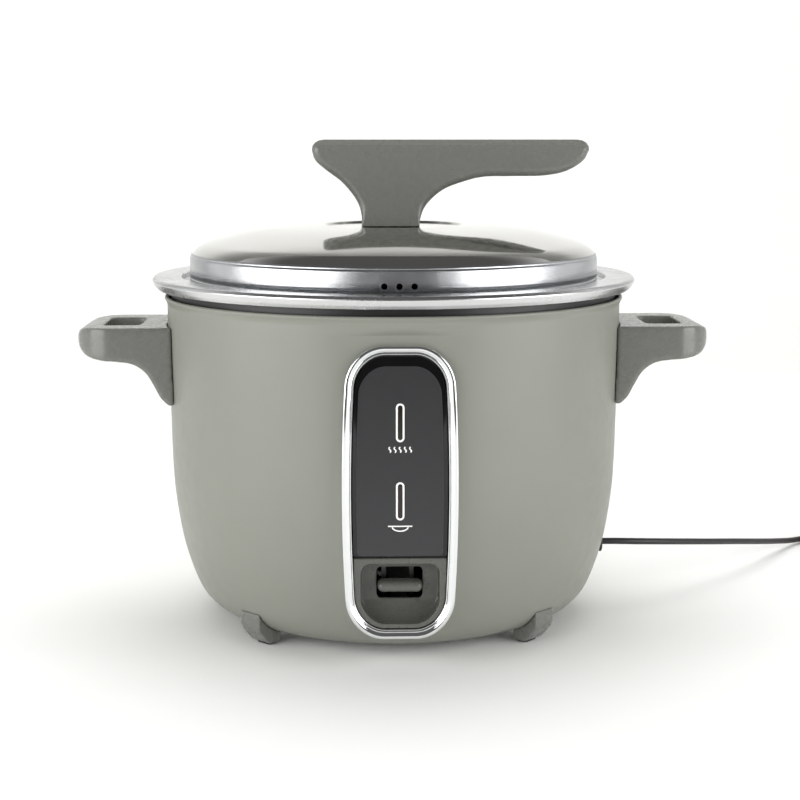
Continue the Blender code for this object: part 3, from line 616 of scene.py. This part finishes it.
# %% Casing form
CASING_SIDE = [
    (147.5, 211.65), (147.3, 180.0), (146.6, 140.0), (145.9, 105.0), (144.4, 82.0), (140.3, 55.0),
    (134.7, 35.0), (128.8, 21.0), (121.9, 13.0), (114.9, 9.0), (110.5, 7.0),
]
SHEET = 0.8
FACET_Y, FACET_TOP, FACET_RISE = -143.6, 201.0, 4.0
SIDE_CURVE = fine(CASING_SIDE, 2.5)


def casing_radius(z):
    for (r0, z0), (r1, z1) in zip(SIDE_CURVE, SIDE_CURVE[1:]):
        if z1 <= z <= z0:
            return r0 + (r1 - r0) * (z0 - z) / max(z0 - z1, 1e-6)
    return SIDE_CURVE[0][0] if z > SIDE_CURVE[0][1] else SIDE_CURVE[-1][0]


def facet_y(z):
    return FACET_Y - max(0.0, min(z - FACET_TOP, FACET_RISE + 1))


def front_y(x, z, out=0.0):
    """How far forward the casing's surface is at (x, z), moved out a little."""
    radius = casing_radius(z) + out
    return max(-math.sqrt(max(radius * radius - x * x, 1.0)), facet_y(z) - out)


def press_flat(mesh, softness=1.2):
    """Pushes the front back to the pressed flat, with a small radius at its border."""
    for vertex in mesh.vertices:
        x, y, z = vertex.co / MM
        radius = math.hypot(x, y)
        if y > -100 or radius < 1:
            continue
        outer = y * casing_radius(z) / radius
        gap = (facet_y(z) - outer) / softness
        push = gap * softness if gap > 20 else softness * math.log1p(math.exp(gap))
        vertex.co.y += push * MM if gap > -6 else 0.0


def panel_outline(inset, drop=0.0, pieces=14):
    """The panel's outline: a round-cornered oblong with bowed sides, moved in by inset."""
    half, low, high = 34.15 - inset, 21.3 + inset, 195.5 - inset - drop
    middle, reach = (21.3 + 195.5) / 2, (195.5 - 21.3) / 2 - inset
    points = rounded_rectangle((-half, low), (half, high), 23.5 - 0.8 * inset, pieces)
    made = []
    for (x0, z0), (x1, z1) in zip(points, points[1:] + points[:1]):
        made.append((x0, z0))
        if abs(z1 - z0) > 60:
            made += [(x0 + (x1 - x0) * i / 14, z0 + (z1 - z0) * i / 14) for i in range(1, 14)]
    return [(x * (1 - 0.10 * ((z - middle) / reach) ** 2), z) for x, z in made]


GLAND = Vector((141.0, 5.0, 41.9))

rolled_edge = arc((147.9, 210.9), 1.3, 170, -60, 9)
inner_side = [(r - SHEET, z + SHEET * 0.3) for r, z in reversed(SIDE_CURVE)]
# The rows are close together where the flat's sloping end and its crease are.
casing_profile = rolled_edge + [(147.5, z) for z in (207, 206, 205, 204, 203, 202, 201, 200, 198, 195)]
casing_profile += [p for p in SIDE_CURVE if p[1] < 192] + [p for p in inner_side if p[1] < 209.5]
casing_mesh = turned(casing_profile, ENAMEL, 256)
press_flat(casing_mesh)
opening = plate(panel_outline(5.3), -165, -118, "Y")
gland_cut = plate(arc((GLAND.y, GLAND.z), 4.8, 0, 337.5, 15), 120, 150, "X")
link("outer_casing_skin", smooth(carved(casing_mesh, opening, gland_cut)), ENAMEL, "root",
     "outer_casing")
print("casing profile:", len(casing_profile), "points")


# %% The black ring under the pot's flange
ring_profile = corners([
    (144.8, 216.4, 0.6), (144.8, 208.0, 0.4), (141.8, 208.0, 0.4), (141.8, 213.4, 0.4),
    (132.2, 213.4, 0.4), (132.2, 216.4, 0.6),
], closed=True)
link("top_ring_skin", turned(ring_profile, BLACK_PLASTIC), BLACK_PLASTIC, "root", "top_ring")


# %% [markdown]
# ## Pot and lid
# The pot is spun from aluminium, with a wide flange that is turned down and curled at its rim.
# The lid is pressed from stainless steel and buffed bright. A disc is pressed down in its
# middle for the handle, its skirt has two beads, and three steam holes face the front.

# %% Pot
POT_INSIDE, POT_FLOOR, POT_ROUND = 127.0, 78.0, 20.0
pot_profile = corners([
    (0, 79.8), (POT_INSIDE, 79.8, POT_ROUND - 1.8), (POT_INSIDE, 220.6, 1.5), (137.2, 220.6, 0.8),
    (138.2, 224.5, 0.8), (155.6, 224.5, 1.6), (157.0, 222.4, 1.2), (155.2, 219.0, 1.4),
    (153.2, 216.8, 0.9), (151.2, 216.9, 0.7), (152.4, 222.8, 1.0), (139.9, 222.8, 0.8),
    (138.5, 218.7, 0.6), (128.8, 218.7, 0.8), (128.8, POT_FLOOR, POT_ROUND), (0, POT_FLOOR),
], pieces=8)
link("inner_pot_skin", turned(pot_profile, SPUN_ALUMINIUM, closed=False), SPUN_ALUMINIUM, "pot",
     "inner_pot")

# %% Lid
LID_TOP = [
    (46.5, 257.0), (60.0, 256.4), (75.0, 255.4), (90.0, 253.5), (105.0, 250.3), (118.0, 246.8),
    (124.5, 244.4), (129.2, 241.2),
]
crown = fine(LID_TOP, 2.5)
lid_outside = [(2.6, 255.9), (44.0, 255.9), (44.5, 256.6), (45.3, 257.0)] + crown
lid_outside += [(131.0, 239.4), (131.7, 238.7), (132.0, 238.1), (131.8, 237.6), (132.2, 237.0), (132.5, 236.0)]
lid_outside += [(132.6, 230), (132.6, 224.4), (132.3, 223.9), (132.6, 223.4), (132.6, 221.2), (132.2, 220.8)]
lid_inside = [(131.6, 221.2), (131.6, 236.2), (130.9, 238.4), (128.6, 240.6)]
lid_inside += [(r - 0.3, z - 1.0) for r, z in reversed(crown[:-1])] + [(45.0, 255.4), (44.2, 254.9), (2.6, 254.9)]
lid_mesh = turned(lid_outside + lid_inside, BUFFED_STEEL, 256, sharp=50)
vents = [plate(arc((x, 228.0), 1.95, 0, 345, 23), -140, -120, "Y") for x in (-8.8, 0.0, 8.8)]
lid_mesh = smooth(carved(lid_mesh, *vents), 50)
link("lid_skin", lid_mesh, MIRROR_STEEL, "lid", "lid_shell")
# The crown is polished to a mirror. The skirt is only buffed, so its lines blur what it shows.
lid_mesh.materials.append(BUFFED_STEEL)
for face in lid_mesh.polygons:
    face.material_index = int(face.center.z < 0.2392)
print("lid faces:", len(lid_mesh.polygons))


# %% [markdown]
# ## Lid handle
# One moulding: a flat-topped bar on an offset stem. Its top edge is chamfered and every lower
# edge has a large radius. The outline is drawn once, and each loop of the loft moves it in.

# %% Lid handle
def moved_in(outline, distances):
    """Each point of a counter-clockwise outline moved inwards by its own distance."""
    made = []
    for i, point in enumerate(outline):
        here, before = Vector(point), Vector(outline[i - 1])
        after = Vector(outline[(i + 1) % len(outline)])
        along = ((here - before).normalized() + (after - here).normalized()).normalized()
        made.append(here + Vector((-along.y, along.x)) * distances[i])
    return made


HANDLE_LEFT = [
    (-20.7, 256.2), (-20.9, 263.0), (-24.0, 272.6), (-33.0, 284.0), (-43.7, 292.2),
    (-50.6, 298.4), (-52.7, 304.8),
]
HANDLE_RIGHT = [
    (125.7, 304.8), (121.9, 298.0), (111.5, 291.6), (97.0, 288.6), (78.0, 288.2), (58.0, 287.8),
    (45.0, 284.8), (31.0, 279.2), (20.6, 269.6), (16.6, 260.0), (16.6, 256.2),
]
left_edge = fine(HANDLE_LEFT, 2.0)
right_edge = fine(HANDLE_RIGHT, 2.0)
tops = [(-52.2, 307.6), (-50.6, 309.7), (-48.2, 311.0), (-45.0, 311.5)]
tops += [(-45 + 163 * i / 30, 311.5) for i in range(1, 31)] + [(121.2, 311.0), (123.8, 309.5), (125.4, 307.2)]
outline = list(reversed(left_edge + tops + right_edge))
HALF, CHAMFER, ROUND = 17.0, 3.4, 5.0
loops = []
for side in (-1, 1):
    steps = range(9) if side < 0 else range(8, -1, -1)
    for k in steps:
        t = k / 8
        insets, depths = [], []
        for u, v in outline:
            if v > 306.5:
                insets.append(CHAMFER * (1 - t))
                depths.append(HALF - CHAMFER * t)
            else:
                foot = min(1.0, max(0.15, (v - 256.2) / 12))
                bend = ROUND * foot
                insets.append(bend * (1 - math.sin(t * math.pi / 2)))
                depths.append(HALF - bend * (1 - math.cos(t * math.pi / 2)))
        moved = moved_in(outline, insets)
        loops.append([(p.x, side * depth, max(p.y, 256.2)) for p, depth in zip(moved, depths)])
lid_handle = carved(loft(loops), plate(arc((0, 0), 2.6, 0, 337.5, 15), 250, 267))
link("lid_handle_skin", smooth(lid_handle, 28), GREY_PLASTIC, "lid", "lid_handle")
print("lid handle faces:", len(lid_handle.polygons))


# %% [markdown]
# ## Side handles and feet
# Moulded hooks with a finger slot, their backs shaped to the casing's wall. The same form that
# makes the casing, grown by 0.3 mm, takes their backs away.

# %% Side handles and feet
def casing_form(out):
    side = [(r + out, z - out * 0.3) for r, z in SIDE_CURVE]
    profile = [(0, 215.0), (side[0][0], 215.0)] + side + [(0, side[-1][1])]
    return turned(profile, ENAMEL, 128, closed=False)


SIDE_HANDLE_UNDER = [
    (203.8, 180.0), (198.4, 175.4), (189.0, 173.0), (177.0, 172.0), (167.0, 170.4), (159.0, 165.0),
    (153.8, 156.5), (149.6, 148.5), (144.5, 143.6),
]


def handle_plan(start=178.0, tip=206.0, half=42.0, power=2.3):
    """The handle seen from above: straight sides that close in a squarish curve."""
    points = [(130.0, -half - 0.4), (start, -half - 0.4)]
    for i in range(33):
        a = math.radians(-90 + 180 * i / 32)
        c, s = math.cos(a), math.sin(a)
        reach = (tip - start) * abs(c) ** (2 / power)
        points.append((start + reach, math.copysign((half + 0.4) * abs(s) ** (2 / power), s)))
    return points + [(130.0, half + 0.4)]


def side_handle():
    edge = [(130, 193.7), (190, 193.7), (197.5, 193.2), (202.6, 190.8), (206, 185.5)]
    edge += fine(SIDE_HANDLE_UNDER, 3.0) + [(130, 143.2)]
    body = loft([[(x, y, z) for x, z in edge] for y in (-42.0, 42.0)])
    made = carved(body, plate(handle_plan(), 120, 210), operation="INTERSECT")
    slot = plate(rounded_rectangle((164.6, -22.3), (188.0, 22.3), 5), 130, 210)
    made = carved(made, slot, casing_form(0.3))
    return moulded(made, 0.9, 20)


handle_mesh = side_handle()
link("side_handle_right_skin", handle_mesh, GREY_PLASTIC, "root", "side_handle_right")
turned_round = handle_mesh.copy()
turned_round.transform(Matrix.Rotation(math.pi, 4, "Z"))
link("side_handle_left_skin", turned_round, GREY_PLASTIC, "root", "side_handle_left")

# A foot's outer end slopes up from its small sole, and its back is cut to the casing.
FOOT_SIDE = [
    (111.0, 22.0), (111.0, 2.6), (112.2, 1.3), (119.5, 1.3), (122.0, 2.4), (128.6, 10.2),
    (130.0, 13.4), (130.0, 22.0),
]
for name, angle in (("front_left", 225), ("front_right", 315), ("rear_right", 45), ("rear_left", 135)):
    foot = loft([[(116 + (u - 116) * (1 - 0.03 * k), v, z + 0.25 * k * (z < 5)) for u, z in FOOT_SIDE]
                 for k, v in ((1, -8.5), (0, -7.0), (0, 7.0), (1, 8.5))])
    foot.transform(Matrix.Rotation(math.radians(angle), 4, "Z"))
    foot = moulded(carved(foot, casing_form(0.3)), 0.5, 8)
    link(f"foot_{name}_skin", foot, GREY_PLASTIC, "root", f"foot_{name}")
print("side handle faces:", len(handle_mesh.polygons))


# %% [markdown]
# ## Control panel
# A chromed frame with a crowned band, a groove and two fine beads stands round a black acrylic
# panel. A charcoal film with two lamp windows covers its middle. Under it a grey moulding holds
# the cook lever in a scooped recess.

# %% Chrome frame
SECTION = [
    (0.0, -146.8), (0.25, -147.5), (0.8, -147.9), (1.6, -148.0), (2.4, -147.85), (3.1, -147.4),
    (3.5, -146.95), (3.75, -146.85), (4.0, -147.0), (4.4, -147.05), (4.75, -146.75), (4.9, -146.3),
    (5.05, -146.2), (5.3, -146.25), (5.55, -146.05), (5.6, -145.7),
]


def frame_loop(inset, y):
    return [(x, y, z) for x, z in panel_outline(inset)]


def frame_back(inset):
    return [(x, front_y(x, z, 0.3) + 0.05, z) for x, z in panel_outline(inset)]


frame_loops = [frame_back(0.0)] + [frame_loop(i, y) for i, y in SECTION] + [frame_back(5.6)]
bezel = loft(frame_loops, ring=True)
link("chrome_frame_skin", smooth(bezel, 45), CHROME, "root", "chrome_bezel")


# %% Black panel, film and lamp windows
SPLIT = 70.0


def upper(inset, drop=0.0, base=0.15):
    """The part of the outline above the switch housing, closed by a straight lower edge."""
    points = [p for p in panel_outline(inset, drop) if p[1] > SPLIT + 4]
    start = max(range(len(points)), key=lambda i: (points[i][0] - points[i - 1][0]))
    points = points[start:] + points[:start]
    first, last = points[0], points[-1]
    corner = 2.0
    low = SPLIT + base
    return points + [(last[0], low + corner), (last[0] + corner * math.copysign(0.3, -last[0]), low + 0.5),
                     (last[0] + math.copysign(corner, -last[0]), low)] + [
        (first[0] + math.copysign(corner, -first[0]), low),
        (first[0] + corner * math.copysign(0.3, -first[0]), low + 0.5), (first[0], low + corner)]


def stadium(width, height, z, pieces=14):
    r = width / 2
    top, bottom = z + height / 2 - r, z - height / 2 + r
    return arc((0, top), r, 0, 180, pieces) + arc((0, bottom), r, 180, 360, pieces)


WINDOWS = {"warm": 150.4, "cook": 104.0}
panel_steps = [(5.9, 0.0, 0.15, -142.0), (5.9, 0.0, 0.15, -144.3), (6.2, 0.3, 0.3, -144.8),
               (8.2, 3.0, 1.0, -145.42), (8.6, 3.5, 1.3, -145.5)]
panel = loft([[(x, y, z) for x, z in upper(i, drop, base)] for i, drop, base, y in panel_steps])
windows = [plate(stadium(5.5, 22.6, z), -160, -130, "Y") for z in WINDOWS.values()]
link("acrylic_panel", smooth(carved(panel, *windows), 20), GLOSS, "root", "display_panel")

film = loft([[(x, y, z) for x, z in upper(8.6, 3.5, 1.3)] for y in (-145.3, -145.56)])
windows = [plate(stadium(5.5, 22.6, z), -160, -130, "Y") for z in WINDOWS.values()]
link("charcoal_film", smooth(carved(film, *windows), 20), FILM, "root")

for name, z in WINDOWS.items():
    rows = [(4.9, 22.0, -141.5), (4.9, 22.0, -145.1), (4.6, 21.7, -145.4), (3.6, 20.7, -145.5), (1.2, 18.3, -145.54)]
    lens = loft([[(x, y, v) for x, v in stadium(w, h, z)] for w, h, y in rows])
    glass = WARM_LENS if name == "warm" else COOK_LENS
    link(f"{name}_lens_skin", smooth(lens, 40), glass, "root", f"{name}_lens")
    rows = [(5.0, 22.7, -145.3), (5.0, 22.7, -145.66), (2.8, 20.5, -145.66), (2.8, 20.5, -145.3)]
    border = loft([[(x, y, v) for x, v in stadium(w, h, z)] for w, h, y in rows], ring=True)
    link(f"{name}_window_border", smooth(border), INK, "root")


# %% Pictograms: three curls of steam for warm, a bowl for cook
def stroke(points, width):
    """An ink line of even width through points (x, z), a twentieth of a millimetre thick."""
    left, right = [], []
    for i, point in enumerate(points):
        here = Vector(point)
        along = (Vector(points[min(i + 1, len(points) - 1)]) - Vector(points[max(i - 1, 0)])).normalized()
        across = Vector((-along.y, along.x)) * width / 2
        left.append(here + across)
        right.append(here - across)
    return plate([tuple(p) for p in left + right[::-1]], -145.62, -145.55, "Y")


def joined(meshes):
    shape = bmesh.new()
    for mesh in meshes:
        shape.from_mesh(mesh)
        bpy.data.meshes.remove(mesh)
    made = bpy.data.meshes.new("joined")
    shape.to_mesh(made)
    shape.free()
    return made


def wave(x, z):
    return [(x + 0.55 * math.sin(2 * math.pi * i / 12), z + 3.2 * (i / 12 - 0.5)) for i in range(13)]


def bowl(z):
    return [(4.6 * math.cos(a), z + 1.0 + 2.4 * math.sin(a)) for a in (math.pi * (1 + i / 16) for i in range(17))]


steam = [stroke(wave(x, 134.6), 0.75) for x in (-6.0, -3.0, 0.0, 3.0, 6.0)]
link("warm_pictogram", joined(steam), INK, "root")
bowl_lines = [stroke(bowl(87.6), 0.75), stroke([(-7.1, 89.1), (7.1, 89.1)], 0.75)]
link("cook_pictogram", joined(bowl_lines), INK, "root")


# %% Switch housing
def lower(inset):
    """The part of the outline below the black panel, closed by a straight upper edge."""
    points = [p for p in panel_outline(inset) if p[1] < SPLIT - 6]
    start = max(range(len(points)), key=lambda i: abs(points[i][0] - points[i - 1][0]))
    points = points[start:] + points[:start]
    return points + [(points[-1][0], SPLIT - 0.15), (points[0][0], SPLIT - 0.15)]


housing = loft([[(x, y, z) for x, z in lower(5.9)] for y in (-145.5, -130.3)])
recess = plate(rounded_rectangle((-23.1, 29.9), (23.1, 66.3), 6), -160, -132.5, "Y")
scoop = [(-160, 30.0)] + arc((-145.5, 43.0), 13.0, 270, 360, 12) + [(-132.5, 70), (-160, 70)]
recess = carved(recess, plate(scoop, -30, 30, "X"), operation="INTERSECT")
recess = carved(recess, plate(panel_outline(8.8), -165, -128, "Y"), operation="INTERSECT")
lever_slot = plate(rounded_rectangle((-13.6, 42.4), (13.6, 61.3), 2.5), -134, -128, "Y")
housing = moulded(carved(housing, recess, lever_slot), 0.5, 4)
# The housing's plastic is darkened as painted shade.
link("switch_housing_skin", housing, SHADED_SWITCH_PLASTIC, "root", "switch_housing")

# %% Cook lever's paddle
paddle = loft([
    [(x, y, z) for x, z in rounded_rectangle((-13.2 + i, 48.7 + i), (13.2 - i, 55.2 - i), 3.2 - i)]
    for i, y in ((0.9, -134.5), (0.0, -135.5), (0.0, -141.5), (0.35, -143.2), (1.1, -144.2), (2.0, -144.6))
])
socket = plate(rounded_rectangle((-6.9, 49.6), (6.9, 52.4), 0.5), -140.3, -133, "Y")
# The paddle's plastic is darkened as painted shade too.
link("lever_paddle_skin", smooth(carved(paddle, socket), 40), SHADED_SWITCH_PLASTIC, "lever", "lever_paddle")
print("housing faces:", len(housing.polygons))


# %% [markdown]
# ## Gland, lead and plug
# The gland is a flanged sleeve that tapers along the lead. The plug's body is lofted round
# its pins, with a tapered ribbed relief behind it.

# %% Gland
def along_x(mesh, place):
    mesh.transform(Matrix.Translation(place * MM) @ Matrix.Rotation(math.pi / 2, 4, "Y"))
    return mesh


gland_profile = [(2.25, 0.2), (6.2, 0.2), (7.0, -0.5), (7.0, -1.2), (4.2, -1.6), (3.9, -23.0), (2.25, -23.0)]
gland = along_x(turned(corners([(*p, 0.4) for p in gland_profile], closed=True), LEAD_PVC, 48), GLAND)
link("gland_skin", smooth(gland), LEAD_PVC, "root", "cord_gland")


# %% Plug
def along_y(mesh, place):
    """Turns a piece made up the axis so that its top points to -Y."""
    mesh.transform(Matrix.Translation(place * MM) @ Matrix.Rotation(math.pi / 2, 4, "X"))
    return mesh


plug_rear = Vector((plug_entry.x, top_of("plug_body")[1], 7.2))
relief = [(2.2, 0.0), (3.0, 0.0)]
for i in range(6):
    radius, start = 3.1 + 0.33 * i, 3.0 * i
    relief += [(radius, start + 0.3), (radius, start + 2.0)]
    relief += [(radius - 0.7, start + 2.3), (radius - 0.7, start + 3.0)]
relief += [(5.0, 21.0), (2.2, 21.0)]
plug_loops = []
for y, half_x, half_z, corner in (
    (112.0, 5.0, 4.2, 3.5), (110.4, 8.5, 5.6, 4.0), (108.0, 11.4, 6.5, 4.2), (104.0, 12.7, 6.85, 4.2),
    (96.0, 13.0, 6.9, 4.0), (88.0, 13.0, 6.9, 3.6), (85.3, 12.8, 6.7, 3.4), (84.5, 12.0, 5.9, 2.8),
):
    outline = rounded_rectangle((-half_x, -half_z), (half_x, half_z), corner)
    plug_loops.append([(plug_rear.x + u, y, 7.2 + v) for u, v in outline])
plug = carved(loft(plug_loops), along_y(turned(relief, LEAD_PVC, 48), plug_rear), operation="UNION")
plug_body = link("plug_moulding", smooth(plug, 35), LEAD_PVC, "root", "plug_body")

mains_lead.data.materials.append(LEAD_PVC)
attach(mains_lead, "root")
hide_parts("power_cord", "cord_coil")


# %% [markdown]
# ## Underneath and inside
# The base plate has a rolled edge and slots that let heat out. The liner, the heating plate and
# the sensor cap are what shows when the pot is lifted.

# %% Base plate and its screws
base = turned(corners([(0, 8.7), (106.0, 8.7), (108.4, 8.0, 0.6), (108.4, 7.3, 0.3), (92, 7.3), (90, 7.9, 0.8),
                       (84, 7.9, 0.8), (82, 7.3), (0, 7.3)]), ZINC, 128, closed=False)
slot_cutter = plate(rounded_rectangle((-9, -1.6), (9, 1.6), 1.5, 4), -5, 5)
slots = ring_of(slot_cutter, 18, 52, 8, ZINC)
link("base_plate_skin", smooth(carved(base, slots)), ZINC, "root", "base_plate")

head_profile = corners([(0, 4.9), (1.6, 4.9), (3.4, 5.5, 1.2), (4.0, 6.8, 0.3), (4.0, 7.0), (0, 7.0)])
head = turned(head_profile, ZINC, 32, closed=False)
cross = [plate(rounded_rectangle((-a, -b), (a, b), 0.2, 3), 4.0, 6.0) for a, b in ((2.0, 0.4), (0.4, 2.0))]
head = carved(head, *cross)
link("base_screw_heads", smooth(ring_of(head, 3, 70, 0, ZINC, 90)), ZINC, "root",
     "base_screw_1", "base_screw_2", "base_screw_3")

# %% Liner, heating plate and sensor cap
UNDER = 58.5


def grooves(r0, r1, z, count, depth):
    made = []
    for i in range(count):
        r = r0 + (r1 - r0) * (i + 0.5) / count
        made += [(r - 0.5, z), (r, z - depth), (r + 0.5, z)]
    return made


liner = turned(corners([
    (132.8, 207.0, 0.5), (132.8, 80, 2), (118, 66, 2), (118, UNDER, 1), (30, UNDER, 0.4), (30, UNDER + 1.2, 0.4),
    (116.8, UNDER + 1.2, 1), (116.8, 66.5, 2), (131.6, 80.5, 2), (131.6, 207.0, 0.5),
], closed=True), ZINC)
link("inner_liner_skin", liner, ZINC, "root", "inner_liner")

heater_side = [(18.5, 77.7)] + grooves(26, 88, 77.7, 12, 0.25)
heater_side += corners([(91, 77.7), (95, 77.7, 3), (95, 69, 2), (87, 63, 2), (18.5, 63), (18.5, 77.7)])[1:-1]
heater = turned(heater_side, CAST_ALUMINIUM, 160, sharp=60)
leg = plate(arc((0, 0), 6, 0, 345, 23), UNDER + 1.5, 65)
legs = ring_of(leg, 3, 70, 0, CAST_ALUMINIUM, 30)
heater = smooth(carved(heater, legs, operation="UNION"), 60)
link("heating_plate_skin", heater, CAST_ALUMINIUM, "root", "heating_plate")

cap = turned(corners([
    (0, 77.7), (15.8, 77.7, 1.8), (15.8, 68.5, 0.3), (14.6, 68.5, 0.3), (14.6, 76.5, 1.0), (0, 76.5),
]), SPUN_ALUMINIUM, 96, closed=False)
link("thermostat_cap_skin", cap, SPUN_ALUMINIUM, "thermostat", "thermostat_cap")


# %% Materials for the CAD nodes that stay
def finish_nodes(material, *names):
    for name in names:
        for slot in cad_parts[name].material_slots:
            slot.material = material


side_screws = [f"side_handle_{side}_screw_{end}" for side in ("left", "right") for end in ("front", "rear")]
finish_nodes(PAD_RUBBER, *[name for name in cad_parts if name.startswith("foot_pad")])
finish_nodes(ZINC, *side_screws, "lid_handle_screw", "lid_washer", "thermostat_sleeve", "thermostat_spring")
finish_nodes(ZINC, "magnet_spring", "magnet_rod", "lever_arm", "lever_bracket", "lever_pivot_pin", "switch_bracket")
finish_nodes(NICKEL, "plug_pin_left", "plug_pin_right")
finish_nodes(FERRITE, "ferrite_core", "permanent_magnet")
finish_nodes(CERAMIC, "terminal_block", "thermal_fuse", "microswitch_button")
finish_nodes(BLACK_PLASTIC, "microswitch", "keep_warm_thermostat")
finish_nodes(BOARD, "lamp_board")
finish_nodes(BROWN_PVC, "live_wire")
finish_nodes(BLUE_PVC, "neutral_wire")


# %% [markdown]
# ## Stage and light
# A pale table and a white sweep behind. Two tall soft boxes stand either side of the camera and
# a broad one hangs above. The world is white behind and above, and dark low in front, so the
# bright metal has something dark to show.

# %% Table and sweep
def pale_paper():
    made, tree, shader, place = new_material("pale_paper", "#F4F4F2", Roughness=0.8)
    shades(tree, shader, noise(tree, place, 200, 2), "#F3F3F1", "#F5F5F3")
    bump(tree, shader, noise(tree, place, 2.0, 2), 0.01, 0.2)
    return made


sweep_side = [(-0.95, 0.0), (1.2, 0.0)]
sweep_turn = [math.radians(a) for a in range(6, 91, 6)]
sweep_side += [(1.2 + 0.6 * math.sin(a), 0.6 - 0.6 * math.cos(a)) for a in sweep_turn]
sweep_side += [(1.8, 2.6)]
sweep_mesh = bpy.data.meshes.new("sweep")
sweep_shape = bmesh.new()
rows = [[sweep_shape.verts.new((x, y, z)) for x in (-2.6, 2.6)] for y, z in sweep_side]
for (a, b), (c, d) in zip(rows, rows[1:]):
    sweep_shape.faces.new((a, b, d, c))
sweep_shape.to_mesh(sweep_mesh)
sweep_shape.free()
sweep_mesh.materials.append(pale_paper())
sweep_mesh.shade_smooth()
sweep = helper("sweep", sweep_mesh)


# %% World and soft boxes
def studio_world():
    """White low down behind, and dark grey in front and overhead."""
    world = bpy.data.worlds.new("studio")
    world.use_nodes = True
    tree = world.node_tree
    back = tree.nodes["Background"]
    ray = node(tree, "ShaderNodeTexCoord").outputs["Generated"]
    parts = node(tree, "ShaderNodeSeparateXYZ", Vector=ray).outputs
    low = node(tree, "ShaderNodeMapRange", {"interpolation_type": "SMOOTHSTEP"},
               i0=parts["Z"], i1=0.55, i2=0.85, i3=1.0, i4=0.0).outputs[0]
    behind = node(tree, "ShaderNodeMapRange", {"interpolation_type": "SMOOTHSTEP"},
                  i0=parts["Y"], i1=-0.1, i2=0.5, i3=0.0, i4=1.0).outputs[0]
    bright = node(tree, "ShaderNodeMath", {"operation": "MULTIPLY"}, i0=low, i1=behind).outputs[0]
    mix = node(tree, "ShaderNodeMix", {"data_type": "RGBA"}, i0=bright, i6=(0.13, 0.13, 0.13, 1), i7=(1, 1, 1, 1))
    tree.links.new(mix.outputs[2], back.inputs["Color"])
    back.inputs["Strength"].default_value = 0.9
    return world


def soft_box(name, place, width, height, power, aim=(0, 0, 0.15), shows=False):
    """A soft light. The two at the sides show in the bright metal, and the fills only light."""
    light = bpy.data.lights.new(name, "AREA")
    light.shape = "RECTANGLE"
    light.size, light.size_y = width, height
    light.energy = power
    box = bpy.data.objects.new(name, light)
    bpy.context.scene.collection.objects.link(box)
    box.visible_glossy = shows
    box.location = place
    box.rotation_euler = (Vector(aim) - Vector(place)).to_track_quat("-Z", "Y").to_euler()
    return box


bpy.context.scene.world = studio_world()
soft_box("left_box", (-1.35, -0.80, 0.45), 1.5, 1.0, 20, shows=True)
soft_box("right_box", (1.35, -0.80, 0.45), 1.3, 1.0, 18, shows=True)
soft_box("front_fill", (-0.3, -2.2, 0.9), 2.4, 1.6, 15)
soft_box("top_fill", (0, 0.5, 2.0), 2.2, 1.4, 30)
soft_box("wall_wash", (0, 1.0, 1.6), 2.4, 0.4, 6, aim=(0, 1.6, 0.3))
bpy.context.scene.view_settings.view_transform = "Standard"
